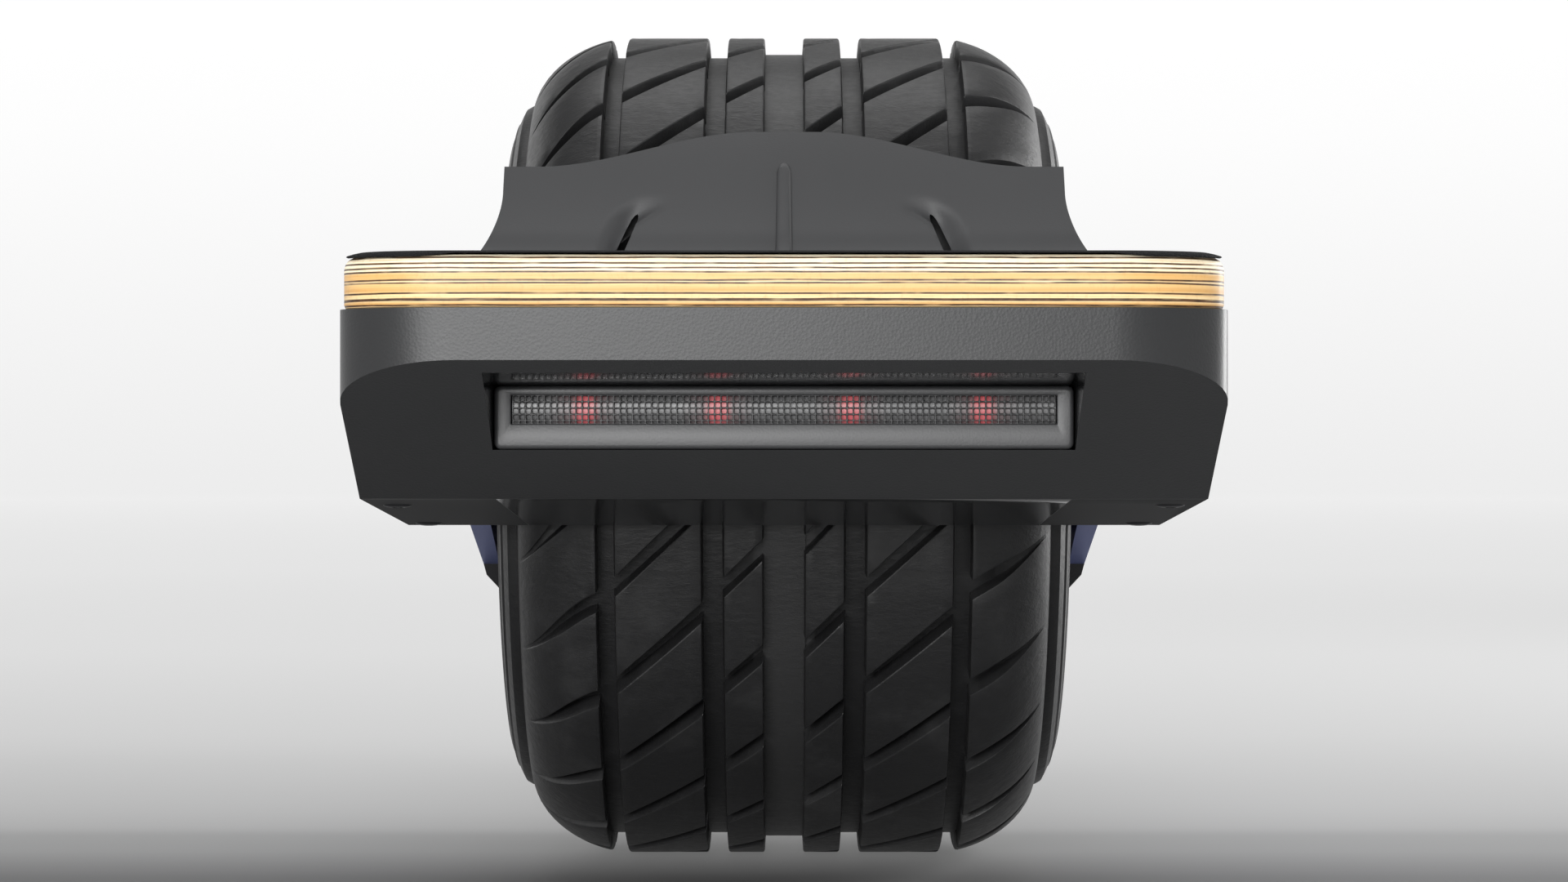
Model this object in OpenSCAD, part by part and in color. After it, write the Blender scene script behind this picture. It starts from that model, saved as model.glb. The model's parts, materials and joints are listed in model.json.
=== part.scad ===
// Single-wheel self balancing board.
// Origin: on the ground straight under the wheel axle. +Y runs towards the tail, the nose
// points along -Y, +X is the right-hand side seen from the nose end, +Z is up.
// Lengths are in millimetres. Names ending in _z are heights above the axle, and names
// ending in _d are distances from the axle towards either end of the board.

/* [Board] */
// Overall length, nose to tail
board_l = 762; // [720:1:920]
// Height of the riding surface above the axle
deck_rise = 51; // [46:1:62]
// Thickness of the plywood foot boards
ply_t = 14; // [10:0.5:18]
// Thickness of the grip sheet
grip_t = 1; // [0.8:0.1:2]
// Corner radius of the foot boards in plan
deck_corner_r = 30; // [15:1:40]
// Thickness of one side rail
rail_t = 18.5; // [17:0.5:24]

/* [Wheel] */
// Outside diameter of the tyre
tyre_d = 292; // [270:1:352]
// Greatest width of the tyre
tyre_w = 191; // [170:1:230]
// Free gap between the tyre and each side rail
tyre_gap = 3; // [2:0.5:8]
// Diameter of the bead seat
bead_d = 152; // [148:1:160]
// Width of the rim over its flanges
rim_w = 140; // [126:1:150]
// Diameter of the axle at the bearings
axle_d = 20; // [17:1:24]
// Outside diameter of the wheel bearings
bearing_d = 47; // [44:1:54]
// Width of a wheel bearing
bearing_w = 14; // [12:1:16]
// Teeth of the stator
teeth = 27; // [18:3:30]
// Magnets of the rotor
poles = 30; // [20:2:36]

/* [Bumpers] */
// Wall of the moulded bumpers
wall = 3; // [2:0.5:4]
// Height of the crease between the nose band and the lower face
belt_z = 22.4; // [18:0.2:28]
// Slope of the lower face
face_a = 29.6; // [26:0.2:34]
// Slope of the underside
pan_a = 4.4; // [3:0.2:6]
// Depth of the underside below the axle at its inner edge
pan_low = 24.7; // [20:0.1:30]

/* [Lights] */
// Width of a light panel
light_w = 157; // [130:1:170]
// Height of a light panel
light_h = 17.4; // [15:0.2:20]
// Width of the perforated window
mesh_w = 147; // [120:1:155]
// Height of the perforated window
mesh_h = 7.7; // [6:0.1:9]
// Pitch of the perforations
mesh_pitch = 1.7; // [1.6:0.1:4]
// Spacing of the lamps
lamp_pitch = 35.8; // [25:0.1:38]

/* [Electronics] */
// Wall of the controller and battery boxes
box_wall = 2.5; // [2:0.5:4]
// Radius of a battery cell
cell_r = 9.1; // [8:0.1:9.2]
// Radius of the power button
button_r = 6; // [5:0.5:7]
// Travel of the power button
button_travel = 1.2; // [0.8:0.1:2]
// Bore radius of the charging socket
socket_r = 5.5; // [4:0.5:6]

/* [Hidden] */
$fn = 64;
eps = 0.01;
fit = 0.05;             // radial clearance of turning and screwed fits

// Board and rails
tyre_r = tyre_d / 2;
axle_z = tyre_r;                                // height of the axle above the ground
half_l = board_l / 2;
rail_in = tyre_w / 2 + tyre_gap;                // inner face of a rail
rail_out = rail_in + rail_t;                    // outer face of a rail
deck_z = deck_rise - grip_t;                    // top of the plywood
rail_z = deck_z - ply_t;                        // top of a rail
deck_in_d = tyre_r + 12;                        // inner edge of a foot board
deck_out_d = half_l - 1;
deck_x = rail_out - 1;                          // half width of a foot board
rail_end_d = half_l - 51;
drop_z = 41;                                    // depth of the rail under the axle
drop_in_x = rail_in + 5.5;                      // outer face of the rail at its deepest
drop_out_x = rail_in + 7;                       // outer face where the drop starts
guard_h = 9;
guard_screw_y = 35;

// Bumpers
pan_in_d = tyre_r + 37;                         // inner edge of the underside
cheek_d = half_l - 79;                          // inner edge of the bumper cheeks
nose_x = 32;                                    // plan corner of the nose, across
nose_y = 20;                                    // plan corner of the nose, along
bumper_screw_x = rail_out - 7.5;
bumper_screw_d = [pan_in_d + 12, half_l - 93];
function face_z(d) = belt_z - (half_l - d) * tan(face_a);
function pan_z(d) = -pan_low + (d - pan_in_d) * tan(pan_a);
face_lift = wall / cos(face_a);
pan_lift = wall / cos(pan_a);
// Distance at which the lower face and the underside meet, both raised by a wall or by none
function knee_d(face_up, pan_up) = (half_l * tan(face_a) - belt_z - face_up - pan_low
    + pan_up - pan_in_d * tan(pan_a)) / (tan(face_a) - tan(pan_a));
knee_in_d = knee_d(face_lift, pan_lift);

// Light pockets
panel_t = 3;
panel_d = half_l - 41;                          // visible face of a light panel
panel_z0 = face_z(panel_d);
panel_z1 = panel_z0 + light_h;
roof_rise = 3.2;                                // rise of the pocket roof to the nose
mesh_z0 = panel_z0 + 7;
mesh_t = 0.8;
led_board_d = panel_d - 9;                      // back of a lamp board
lamps = 4;
post_x = light_w / 2 - 12;

// Wheel, as distances along the axle and radii
bead_r = bead_d / 2;
well_r = bead_r - 2;                            // rim surface between the bead seats
flange_t = 4;
flange_x = rim_w / 2 - flange_t;                // inner face of a rim flange
valve_r = 4;
valve_x = flange_x - 20;
flange_r = bead_r + 8;
barrel_x = 36;                                  // half width of the rim barrel
barrel_r = bead_r - 12;                         // bore of the rim barrel
cover_r = bead_r - 5;
cover_t = 5;
iron_t = 4;
magnet_t = 3;
air_gap = 0.8;
stator_r = barrel_r - iron_t - magnet_t - air_gap;
stack_x = 22;                                   // half length of the stator stack
axle_r = axle_d / 2;
shoulder_r = axle_r + 2;
bearing_r = bearing_d / 2;
bearing_x = barrel_x + 2;                       // inner face of a bearing
race_t = (bearing_r - axle_r) * 0.27;
ball_r = (bearing_r - axle_r) / 2 - race_t + 1.4;
ball_orbit = (bearing_r + axle_r) / 2;
balls = 9;
boss_r = bearing_r + 6;
boss_x = bearing_x + bearing_w + 4;
axle_end_x = rail_in - 1.5;
flat = axle_r * 0.7;                            // half distance across the axle flats
flat_x = boss_x + 5;
cover_screw_r = (barrel_r + cover_r) / 2;
cover_screws_n = 8;

// Axle blocks
block_x = flat_x + 3;
block_y = 32;
block_z = 30;
bolt_y = 22;
bolt_zs = [22, -11.5];
bolt_r = 4;
bolt_head_r = 6.5;
bolt_head_t = 5;
pinch_z = -21;
pinch_r = 3;

// Cables and grooves of the rails
cable_r = 3.5;
cable_x = rail_in + 6.5;
bend_r = cable_x - axle_end_x;
groove_r = cable_r + 1.5;
cable_d = pan_in_d + 14;                        // where the cables turn into the boxes

// Boxes between the rails
box_d0 = pan_in_d + 7;
box_z0 = -12;
box_gap = 0.6;                                  // over the inside of the bumper's underside
// The boxes end at the cheeks, or sooner where the rising underside meets their floor
box_d1 = min(cheek_d - 2, pan_in_d + (box_z0 - box_gap - pan_lift + pan_low) / tan(pan_a));
box_z1 = rail_z - 6;
lid_t = 3;
box_boss_r = 4.5;
lid_screw_x = rail_in - 9;

// Port plate in the right rail
port_y = -(cable_d + 48);                       // middle of the port recess
port_z = 10;
port_w = 66;
port_h = 28;
port_depth = 6;
port_t = 2.5;
port_x = rail_out - port_depth;                 // floor of the recess
button_y = port_y - 16;
socket_y = port_y + 16;
cap_axis_x = port_x + port_t + 1.7;
cap_axis_z = port_z - 10.5;

// Wheel surround
fender_r = tyre_r + 8;
fender_in_r = tyre_r + 5;
lip_low_z = fender_r * 0.5935;
lip_rise = 12.2;
foot_x = rail_in + 6.2;                         // half width of the surround at its foot
lip_x = rail_in - 6.9;                          // half width of the surround at its lip
flare_z = fender_r * 0.532;                     // height under which the sides flare out
cheek_in_d = deck_in_d - 60;                    // where the side cheeks run out
foot_d = tyre_r + 30;
fender_screw_d = cheek_in_d - 10;
fender_screw_ys = [-fender_screw_d, 0, fender_screw_d];
screw_x = rail_in + 9;
function smooth(t) = t <= 0 ? 0 : t >= 1 ? 1 : t * t * (3 - 2 * t);
function lip_z(x) = lip_low_z + lip_rise * smooth((80 - abs(x)) / 70);
function side_x(z) = lip_x + (foot_x - lip_x) * pow((flare_z - z) / (flare_z - foot_z), 1.8);

// ---------- placing and shared shapes ----------

module lift() translate([0, 0, axle_z]) children();

// Places a piece drawn at the tail, +Y, at the named end
module at_end(end) {
    if (end == "front") mirror([0, 1, 0]) lift() children();
    else lift() children();
}

// Places a piece drawn on the right, +X, on the named side
module at_side(side) {
    if (side == "left") mirror([1, 0, 0]) lift() children();
    else lift() children();
}

module at_both_ends() for (end = ["front", "rear"]) at_end(end) children();
module at_both_sides() for (side = ["left", "right"]) at_side(side) children();
module at_corners() for (mx = [0, 1], my = [0, 1]) mirror_if([mx, 0, 0]) mirror_if([0, my, 0])
    lift() children();
module mirror_if(v) {
    if (norm(v) > 0) mirror(v) children();
    else children();
}

// Turns a solid of revolution about Z onto the axle
module on_axle() lift() rotate([0, 90, 0]) children();

// Extrudes a side outline, drawn as distance and height, from x0 to x1
module across(x0, x1) translate([x0, 0, 0]) rotate([90, 0, 90]) linear_extrude(x1 - x0) children();

// Extrudes a front outline, drawn as width and height, from y0 to y1
module along(y0, y1) translate([0, y1, 0]) rotate([90, 0, 0]) linear_extrude(y1 - y0) children();

module rod_x(r, x0, x1, y = 0, z = 0) translate([x0, y, z]) rotate([0, 90, 0])
    cylinder(r = r, h = x1 - x0);
module rod_y(r, y0, y1, x = 0, z = 0) translate([x, y1, z]) rotate([90, 0, 0])
    cylinder(r = r, h = y1 - y0);
module box(lo, hi) translate(lo) cube(hi - lo);
module ring(r0, r1, x0, x1) on_axle() translate([0, 0, x0]) difference() {
    cylinder(r = r1, h = x1 - x0);
    translate([0, 0, -1]) cylinder(r = r0, h = x1 - x0 + 2);
}

// Button-head screw with a hex socket, its seat at Z 0 and its head above
module screw(shank_r, shank_l, head_r, head_h) difference() {
    union() {
        cylinder(r = head_r, h = head_h);
        translate([0, 0, -shank_l]) cylinder(r = shank_r, h = shank_l + eps);
    }
    translate([0, 0, head_h / 2]) cylinder(r = head_r / 2, h = head_h, $fn = 6);
}

// Rectangle with quarter-ellipse corners at its far end, from distance d0 to d1
module nose_plan(x, d0, d1, cx, cy) polygon(concat(
    [[-x, d0], [x, d0]],
    [for (a = [0:7.5:90]) [x - cx + cx * cos(a), d1 - cy + cy * sin(a)]],
    [for (a = [90:7.5:180]) [cx - x + cx * cos(a), d1 - cy + cy * sin(a)]]));

// Mirrors a half outline of [radius, x] points to a closed ring section
function both(half) = concat(half, [for (i = [len(half) - 1:-1:0]) [half[i][0], -half[i][1]]]);

// ---------- wheel ----------

tread_x = tyre_w / 2 * 0.58;                    // half width of the flat crown
shoulder_x = tyre_w / 2 - 7.6;
shoulder_h = 23.7;
side_r = tyre_r - 38.5;                         // radius of the greatest width
groove_xs = [[0, 6.4, 5.8], [20, 26.3, 7], [tread_x, tread_x + 5.2, 7]];

// Point t of the curved tread shoulder
function shoulder(t) = [tyre_r - shoulder_h + shoulder_h * pow(cos(t), 1.14),
    tread_x + (shoulder_x - tread_x) * pow(sin(t), 1.14)];

module tyre() color("#2b2b2c") on_axle() difference() {
    rotate_extrude() polygon(concat(
        both(concat([for (t = [0:15:90]) shoulder(t)],
            [[tyre_r - 26.1, tyre_w / 2 - 4.1], [tyre_r - 31, tyre_w / 2 - 1.4],
            [side_r, tyre_w / 2], [side_r - 8, tyre_w / 2 - 2],
            [flange_r + 6, rim_w / 2 + (tyre_w - rim_w) * 0.27],
            [flange_r, flange_x + flange_t - 1],
            [flange_r, flange_x], [bead_r, flange_x], [bead_r, flange_x - 12],
            [flange_r + 2, flange_x - 10], [side_r - 8, tyre_w / 2 - 9],
            [side_r + 4, tyre_w / 2 - 8], [tyre_r - 22, shoulder_x - 11],
            [tyre_r - 13, tread_x]]))));
    for (g = groove_xs, m = [0, 1]) mirror([0, 0, m]) translate([0, 0, g[0]]) difference() {
        cylinder(r = tyre_r + 1, h = g[1] - g[0]);
        translate([0, 0, -1]) cylinder(r = tyre_r - g[2], h = g[1] - g[0] + 2);
    }
}

module rim() color("#3a3b3d") on_axle() difference() {
    rotate_extrude() polygon(both([
        [well_r, 0], [well_r, flange_x - 14], [bead_r, flange_x - 12],
        [bead_r, flange_x], [flange_r, flange_x], [flange_r, flange_x + flange_t],
        [cover_r, flange_x + flange_t], [cover_r, barrel_x], [barrel_r, barrel_x],
        [barrel_r, 0]]));
    translate([0, 0, valve_x]) rotate([0, -90, 0]) cylinder(r = valve_r + fit, h = bead_r + 9);
    for (m = [0, 1]) mirror([0, 0, m]) cover_screw_places()
        translate([0, 0, -12]) cylinder(r = 2 + fit, h = 13);
}

module valve_stem() color("#c9b46a") on_axle() translate([0, 0, valve_x]) rotate([0, -90, 0]) {
    translate([0, 0, well_r]) cylinder(r = valve_r + 1.5, h = 2);
    translate([0, 0, well_r - 24]) cylinder(r = valve_r, h = 24 + eps);
    translate([0, 0, well_r - 30]) cylinder(r = valve_r - 1.2, h = 6 + eps);
}

module cover_screw_places() for (i = [0:cover_screws_n - 1])
    rotate(i * 360 / cover_screws_n + 180 / cover_screws_n)
        translate([cover_screw_r, 0, barrel_x]) children();

module rotor_ring() color("#8d9094") ring(barrel_r - iron_t, barrel_r, -stack_x - 2, stack_x + 2);

module magnets() color("#b9bcc1") on_axle() for (i = [0:poles - 1]) rotate(i * 360 / poles)
    translate([0, 0, -stack_x]) intersection() {
        difference() {
            cylinder(r = barrel_r - iron_t, h = 2 * stack_x);
            translate([0, 0, -1]) cylinder(r = barrel_r - iron_t - magnet_t, h = 2 * stack_x + 2);
        }
        translate([0, -magnet_w / 2, 0]) cube([barrel_r, magnet_w, 2 * stack_x]);
    }
magnet_w = 2 * PI * (barrel_r - iron_t - magnet_t) / poles - 1.6;

module motor_cover(side) color("#46484b") mirror_if([side == "left" ? 1 : 0, 0, 0]) on_axle()
    difference() {
        rotate_extrude() polygon([
            [cover_r, barrel_x], [cover_r, barrel_x + cover_t - 1],
            [cover_r - 1, barrel_x + cover_t], [boss_r + 3, barrel_x + cover_t],
            [boss_r, barrel_x + cover_t + 3], [boss_r, boss_x - 1], [boss_r - 1, boss_x],
            [bearing_r, boss_x], [bearing_r, bearing_x], [bearing_r - 3, bearing_x],
            [bearing_r - 3, barrel_x], [barrel_r, barrel_x]]);
        cover_screw_places() translate([0, 0, -1]) cylinder(r = 2 + fit, h = cover_t + 2);
    }

module cover_screws() color("#1d1e20") for (m = [0, 1]) mirror_if([m, 0, 0]) on_axle()
    cover_screw_places() translate([0, 0, cover_t]) screw(2, 14, 3.4, 2.4);

module bearing_outer_races() color("#a9adb3") for (m = [0, 1]) mirror_if([m, 0, 0]) on_axle()
    translate([0, 0, bearing_x]) difference() {
        cylinder(r = bearing_r, h = bearing_w);
        translate([0, 0, -1]) cylinder(r = bearing_r - race_t, h = bearing_w + 2);
        translate([0, 0, bearing_w / 2]) ball_track();
    }

module bearing_inner_races() color("#a9adb3") for (m = [0, 1]) mirror_if([m, 0, 0]) on_axle()
    translate([0, 0, bearing_x]) difference() {
        cylinder(r = axle_r + race_t, h = bearing_w);
        translate([0, 0, -1]) cylinder(r = axle_r, h = bearing_w + 2);
        translate([0, 0, bearing_w / 2]) ball_track();
    }

module ball_track() rotate_extrude() translate([ball_orbit, 0]) circle(r = ball_r + fit);

module bearing_balls() color("#d5d8dc") for (m = [0, 1]) mirror_if([m, 0, 0]) on_axle()
    for (i = [0:balls - 1]) rotate(i * 360 / balls)
        translate([ball_orbit, 0, bearing_x + bearing_w / 2]) sphere(r = ball_r);

seal_x = bearing_x + bearing_w + 0.5;
module axle_seals() color("#1a1a1b") {
    ring(axle_r + fit, bearing_r, seal_x, boss_x - 0.5);
    ring(axle_r + fit, bearing_r, 0.5 - boss_x, -seal_x);
}

module axle() color("#b4b7bb") lift() difference() {
    union() {
        rod_x(shoulder_r, -bearing_x, bearing_x);
        intersection() {
            rod_x(axle_r, -axle_end_x, axle_end_x);
            union() {
                box([-flat_x, -axle_r, -axle_r], [flat_x, axle_r, axle_r]);
                box([-axle_end_x, -axle_r, -flat], [axle_end_x, axle_r, flat]);
            }
        }
    }
    rod_x(cable_r + 0.5, stack_x + 6 - cable_r, axle_end_x + 1);
    translate([stack_x + 6, 0, 0]) cylinder(r = cable_r + 0.5, h = shoulder_r + 1);
}

hub_r = stator_r - 24;
module stator_hub() color("#aeb1b5") on_axle() difference() {
    translate([0, 0, 2 - stack_x]) cylinder(r = hub_r, h = 2 * stack_x - 4);
    translate([0, 0, -stack_x]) cylinder(r = shoulder_r, h = 2 * stack_x);
    for (i = [0:5]) rotate(i * 60) translate([(hub_r + shoulder_r) / 2, 0, -stack_x])
        cylinder(r = (hub_r - shoulder_r) / 2 - 3, h = 2 * stack_x);
}

tooth_w = 2 * PI * (hub_r + 7) / teeth * 0.42;
shoe_w = 2 * PI * stator_r / teeth - 2.4;
shoe_h = 3;
module stator_core() color("#6f7378") on_axle() translate([0, 0, -stack_x])
    linear_extrude(2 * stack_x) difference() {
        union() {
            circle(r = hub_r + 6);
            intersection() {
                circle(r = stator_r);
                for (i = [0:teeth - 1]) rotate(i * 360 / teeth) {
                    translate([hub_r + 1, -tooth_w / 2]) square([stator_r - hub_r, tooth_w]);
                    translate([stator_r - shoe_h, -shoe_w / 2]) square([shoe_h + 1, shoe_w]);
                }
            }
        }
        circle(r = hub_r);
    }

coil_t = tooth_w * 0.4;
coil_r0 = hub_r + 7;
coil_r1 = stator_r - shoe_h - 1;
module stator_coils() color("#b5622c") on_axle() for (i = [0:teeth - 1]) rotate(i * 360 / teeth)
    difference() {
        box([coil_r0, -tooth_w / 2 - coil_t, -stack_x - coil_t],
            [coil_r1, tooth_w / 2 + coil_t, stack_x + coil_t]);
        box([coil_r0 - 1, -tooth_w / 2, -stack_x], [coil_r1 + 1, tooth_w / 2, stack_x]);
    }

// ---------- axle mounting ----------

module bolt_places() for (y = [-bolt_y, bolt_y], z = bolt_zs) translate([0, y, z]) children();

module axle_block(side) color("#2c2e31") at_side(side) difference() {
    box([block_x, -block_y, -block_z], [rail_in, block_y, block_z]);
    intersection() {
        rod_x(axle_r + fit, block_x - 1, rail_in + 1);
        box([block_x - 1, -block_y, -flat - fit], [rail_in + 1, block_y, flat + fit]);
    }
    box([block_x - 1, -0.8, -block_z - 1], [rail_in + 1, 0.8, -flat]);
    bolt_places() rod_x(bolt_r + fit, block_x + 6, rail_in + 1);
    for (x = pinch_xs) {
        rod_y(pinch_r + fit, -block_y + 6, block_y + 1, x, pinch_z);
        rod_y(pinch_r * 2, block_y - 6, block_y + 1, x, pinch_z);
    }
}
pinch_xs = [block_x + 8, rail_in - 8];

module pinch_bolts() color("#1d1e20") at_both_sides() for (x = pinch_xs)
    translate([x, block_y - 6, pinch_z]) rotate([-90, 0, 0])
        screw(pinch_r, 2 * block_y - 13, pinch_r * 2 - 0.5, 4);

module axle_block_bolts() color("#202124") at_both_sides() bolt_places()
    translate([rail_out - bolt_head_t, 0, 0]) rotate([0, 90, 0])
        screw(bolt_r, rail_out - bolt_head_t - block_x - 8, bolt_head_r, bolt_head_t - 1);

// ---------- cables ----------

// Quarter bend about Z from +X to +Y, starting at the origin
module bend() translate([0, bend_r, 0]) rotate([0, 0, -90]) rotate_extrude(angle = 90)
    translate([bend_r, 0]) circle(r = cable_r);

// Run of a cable in a rail groove, from distance d0 and turning into a box at the end
module groove_run(d0) {
    rod_y(cable_r, d0, cable_d, cable_x);
    translate([axle_end_x, cable_d + bend_r, 0]) mirror([0, 1, 0]) bend();
    rod_x(cable_r, rail_in - box_wall - 4, axle_end_x, cable_d + bend_r);
}

module motor_cable() color("#17181a") lift() {
    mirror([0, 1, 0]) {
        translate([axle_end_x, 0, 0]) bend();
        groove_run(bend_r);
    }
    rod_x(cable_r, stack_x + 6 - cable_r, axle_end_x);
    translate([stack_x + 6, 0, 0]) cylinder(r = cable_r, h = shoulder_r + 6);
}

module power_cable() color("#17181a") mirror([1, 0, 0]) lift() {
    groove_run(0);
    mirror([0, 1, 0]) groove_run(-eps);
}

// ---------- rails ----------

rail_half = [
    [rail_end_d, rail_z],
    [rail_end_d, face_z(rail_end_d) + face_lift + 3],
    [knee_in_d - 4, pan_z(knee_in_d - 4) + pan_lift],
    [pan_in_d, pan_z(pan_in_d) + pan_lift],
    [pan_in_d - 2, 0.7 - pan_low],
    [pan_in_d - 88, -1.3 - pan_low],
    [pan_in_d - 128, -drop_z]];

module rail_body() intersection() {
    across(rail_in, rail_out) polygon(concat(rail_half,
        [for (i = [len(rail_half) - 1:-1:0]) [-rail_half[i][0], rail_half[i][1]]]));
    along(-half_l, half_l) polygon([
        [rail_in, rail_z], [rail_out - 1, rail_z], [rail_out, rail_z - 1],
        [rail_out, 6.7 - pan_low], [drop_out_x, -1.3 - pan_low], [drop_in_x, -drop_z],
        [rail_in, -drop_z]]);
}

module rail(side) color("#3d4a8f") at_side(side) difference() {
    rail_body();
    for (m = [0, 1]) mirror([0, m, 0]) {
        box([rail_out - wall - 1, cheek_d - 0.5, -drop_z], [rail_out + 1, half_l, rail_z + 1]);
        for (d = bumper_screw_d) translate([bumper_screw_x, d, pan_z(d)])
            cylinder(r = bumper_screw_r + fit, h = 19);
        for (d = deck_screw_d) translate([deck_screw_x, d, rail_z - 15]) cylinder(
            r = deck_screw_r + fit, h = 16);
    }
    box([rail_in - 1, -cable_d - bend_r - groove_r, -groove_r],
        [cable_x + groove_r, cable_d + bend_r + groove_r, groove_r]);
    bolt_places() {
        rod_x(bolt_r + fit, rail_in - 1, rail_out);
        rod_x(bolt_head_r + 0.5, rail_out - bolt_head_t, rail_out + 1);
    }
    for (y = fender_screw_ys) translate([screw_x, y, rail_z - 12])
        cylinder(r = fender_screw_r + fit, h = 13);
    for (y = [-guard_screw_y, guard_screw_y]) translate([guard_x, y, -drop_z - 1])
        cylinder(r = guard_screw_r + fit, h = 11);
    if (side == "right") {
        translate([port_x, port_y - port_w / 2, port_z - port_h / 2])
            cube([port_depth + 1, port_w, port_h]);
        rod_x(switch_r + fit, rail_in - 1, port_x + 1, button_y, port_z);
        rod_x(socket_body_r + fit, rail_in - 1, port_x + 1, socket_y, port_z);
    }
}

guard_x = (rail_in + drop_in_x) / 2;
guard_screw_r = 1.2;
module rail_guard(side) color("#1b1c1e") at_side(side) difference() {
    intersection() {
        across(rail_in, drop_in_x) polygon([
            [-(pan_in_d - 128), -drop_z], [pan_in_d - 128, -drop_z],
            [pan_in_d - 140, -drop_z - guard_h], [-(pan_in_d - 140), -drop_z - guard_h]]);
        along(-half_l, half_l) polygon([
            [rail_in, -drop_z], [drop_in_x, -drop_z], [drop_in_x - 0.6, -drop_z - 4],
            [rail_in + 1, -drop_z - guard_h], [rail_in, -drop_z - guard_h]]);
    }
    for (y = [-guard_screw_y, guard_screw_y]) {
        translate([guard_x, y, -drop_z - guard_h - 1])
            cylinder(r = guard_screw_r + fit, h = guard_h + 2);
        translate([guard_x, y, -drop_z - guard_h - 1])
            cylinder(r = guard_screw_r * 1.8 + fit, h = guard_h - 2);
    }
}

module guard_screws() color("#1d1e20") at_both_sides() for (y = [-guard_screw_y, guard_screw_y])
    translate([guard_x, y, -drop_z - 3]) rotate([180, 0, 0])
        screw(guard_screw_r, 11, guard_screw_r * 1.8, 1.6);

// ---------- foot boards ----------

deck_screw_r = 2.5;
deck_head_r = 5;
deck_screw_x = rail_in + 7.5;
deck_screw_d = [deck_in_d + 30, rail_end_d - 12];
sensor_t = 0.6;

module deck(end) color("#d9b97c") at_end(end) difference() {
    translate([0, 0, rail_z]) linear_extrude(ply_t)
        nose_plan(deck_x, deck_in_d, deck_out_d, deck_corner_r, deck_corner_r);
    deck_screw_cuts();
    if (end == "front") translate([0, 0, deck_z - sensor_t]) linear_extrude(sensor_t + 1)
        sensor_plan();
}

module deck_screw_cuts() for (x = [-deck_screw_x, deck_screw_x], d = deck_screw_d)
    translate([x, d, 0]) {
        translate([0, 0, rail_z - 1]) cylinder(r = deck_screw_r + 0.3, h = ply_t);
        translate([0, 0, deck_z - 3.5]) cylinder(r = deck_head_r + 0.3, h = grip_t + 4);
    }

module grip(end) color("#161618") at_end(end) difference() {
    translate([0, 0, deck_z]) linear_extrude(grip_t)
        nose_plan(deck_x - 0.5, deck_in_d + 20, deck_out_d - 0.5, deck_corner_r, deck_corner_r);
    deck_screw_cuts();
}

module deck_screws() color("#202124") at_corners() for (d = deck_screw_d)
    translate([deck_screw_x, d, deck_z - 3.5])
        screw(deck_screw_r, ply_t + 10, deck_head_r, 3.5 + grip_t / 2);

module sensor_plan() translate([4 - rail_in, deck_in_d + 40])
    square([2 * rail_in - 8, deck_out_d - deck_in_d - 76]);
module foot_sensor() color("#c98f2e") at_end("front") translate([0, 0, deck_z - sensor_t])
    linear_extrude(sensor_t) sensor_plan();

// ---------- bumpers ----------

bumper_screw_r = 2.5;
bumper_head_r = 4.5;
bumper_head_h = 2.2;

module bumper_side(face_up, pan_up, top_z) polygon([
    [pan_in_d, top_z], [pan_in_d, pan_z(pan_in_d) + pan_up],
    [knee_d(face_up, pan_up), pan_z(knee_d(face_up, pan_up)) + pan_up],
    [half_l, face_z(half_l) + face_up], [half_l, top_z]]);

module pocket_side() polygon([
    [panel_d, panel_z0 - 30], [panel_d, panel_z0],
    [led_board_d - 4, panel_z0], [led_board_d - 4, panel_z1], [panel_d, panel_z1],
    [half_l, panel_z1 + roof_rise], [half_l, panel_z0 - 30]]);

module bumper(end) color("#2e2f31") at_end(end) difference() {
    intersection() {
        translate([0, 0, -half_l]) linear_extrude(2 * half_l)
            nose_plan(rail_out, 0, half_l, nose_x, nose_y);
        across(-rail_out, rail_out) bumper_side(0, 0, rail_z);
    }
    difference() {
        intersection() {
            translate([0, 0, -half_l]) linear_extrude(2 * half_l) nose_plan(rail_out - wall, 0,
                half_l - wall, nose_x - wall, nose_y - wall);
            across(-rail_out, rail_out) bumper_side(face_lift, pan_lift, rail_z + 1);
        }
        translate([-light_w / 2 - wall, led_board_d - 4, pan_z(half_l) - 60])
            cube([light_w + 2 * wall, half_l, panel_z1 + wall + 60 - pan_z(half_l)]);
    }
    across(-rail_out - 1, rail_out + 1) polygon([
        [pan_in_d - 1, pan_z(pan_in_d - 1) + pan_lift], [cheek_d, pan_z(cheek_d) + pan_lift],
        [cheek_d, rail_z + 1], [pan_in_d - 1, rail_z + 1]]);
    across(-light_w / 2, light_w / 2) pocket_side();
    for (x = [-bumper_screw_x, bumper_screw_x], d = bumper_screw_d)
        translate([x, d, pan_z(d) - 5]) cylinder(r = bumper_screw_r + 0.3, h = wall + 8);
}

module bumper_screws() color("#141416") at_corners() for (d = bumper_screw_d)
    translate([bumper_screw_x, d, pan_z(d) - 0.4]) rotate([180, 0, 0])
        screw(bumper_screw_r, 17, bumper_head_r, bumper_head_h);

// ---------- lights ----------

module light_panel(end) color("#6e7073") at_end(end) difference() {
    union() {
        translate([-light_w / 2, panel_d - panel_t, panel_z0])
            cube([light_w, panel_t, light_h]);
        for (x = [-post_x, post_x]) rod_y(2.5, led_board_d + 2, panel_d - 1, x,
            panel_z0 + light_h / 4);
    }
    translate([-mesh_w / 2 - 0.1, panel_d - panel_t - 1, mesh_z0 - 0.1])
        cube([mesh_w + 0.2, panel_t + 2, mesh_h + 0.2]);
}

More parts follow.
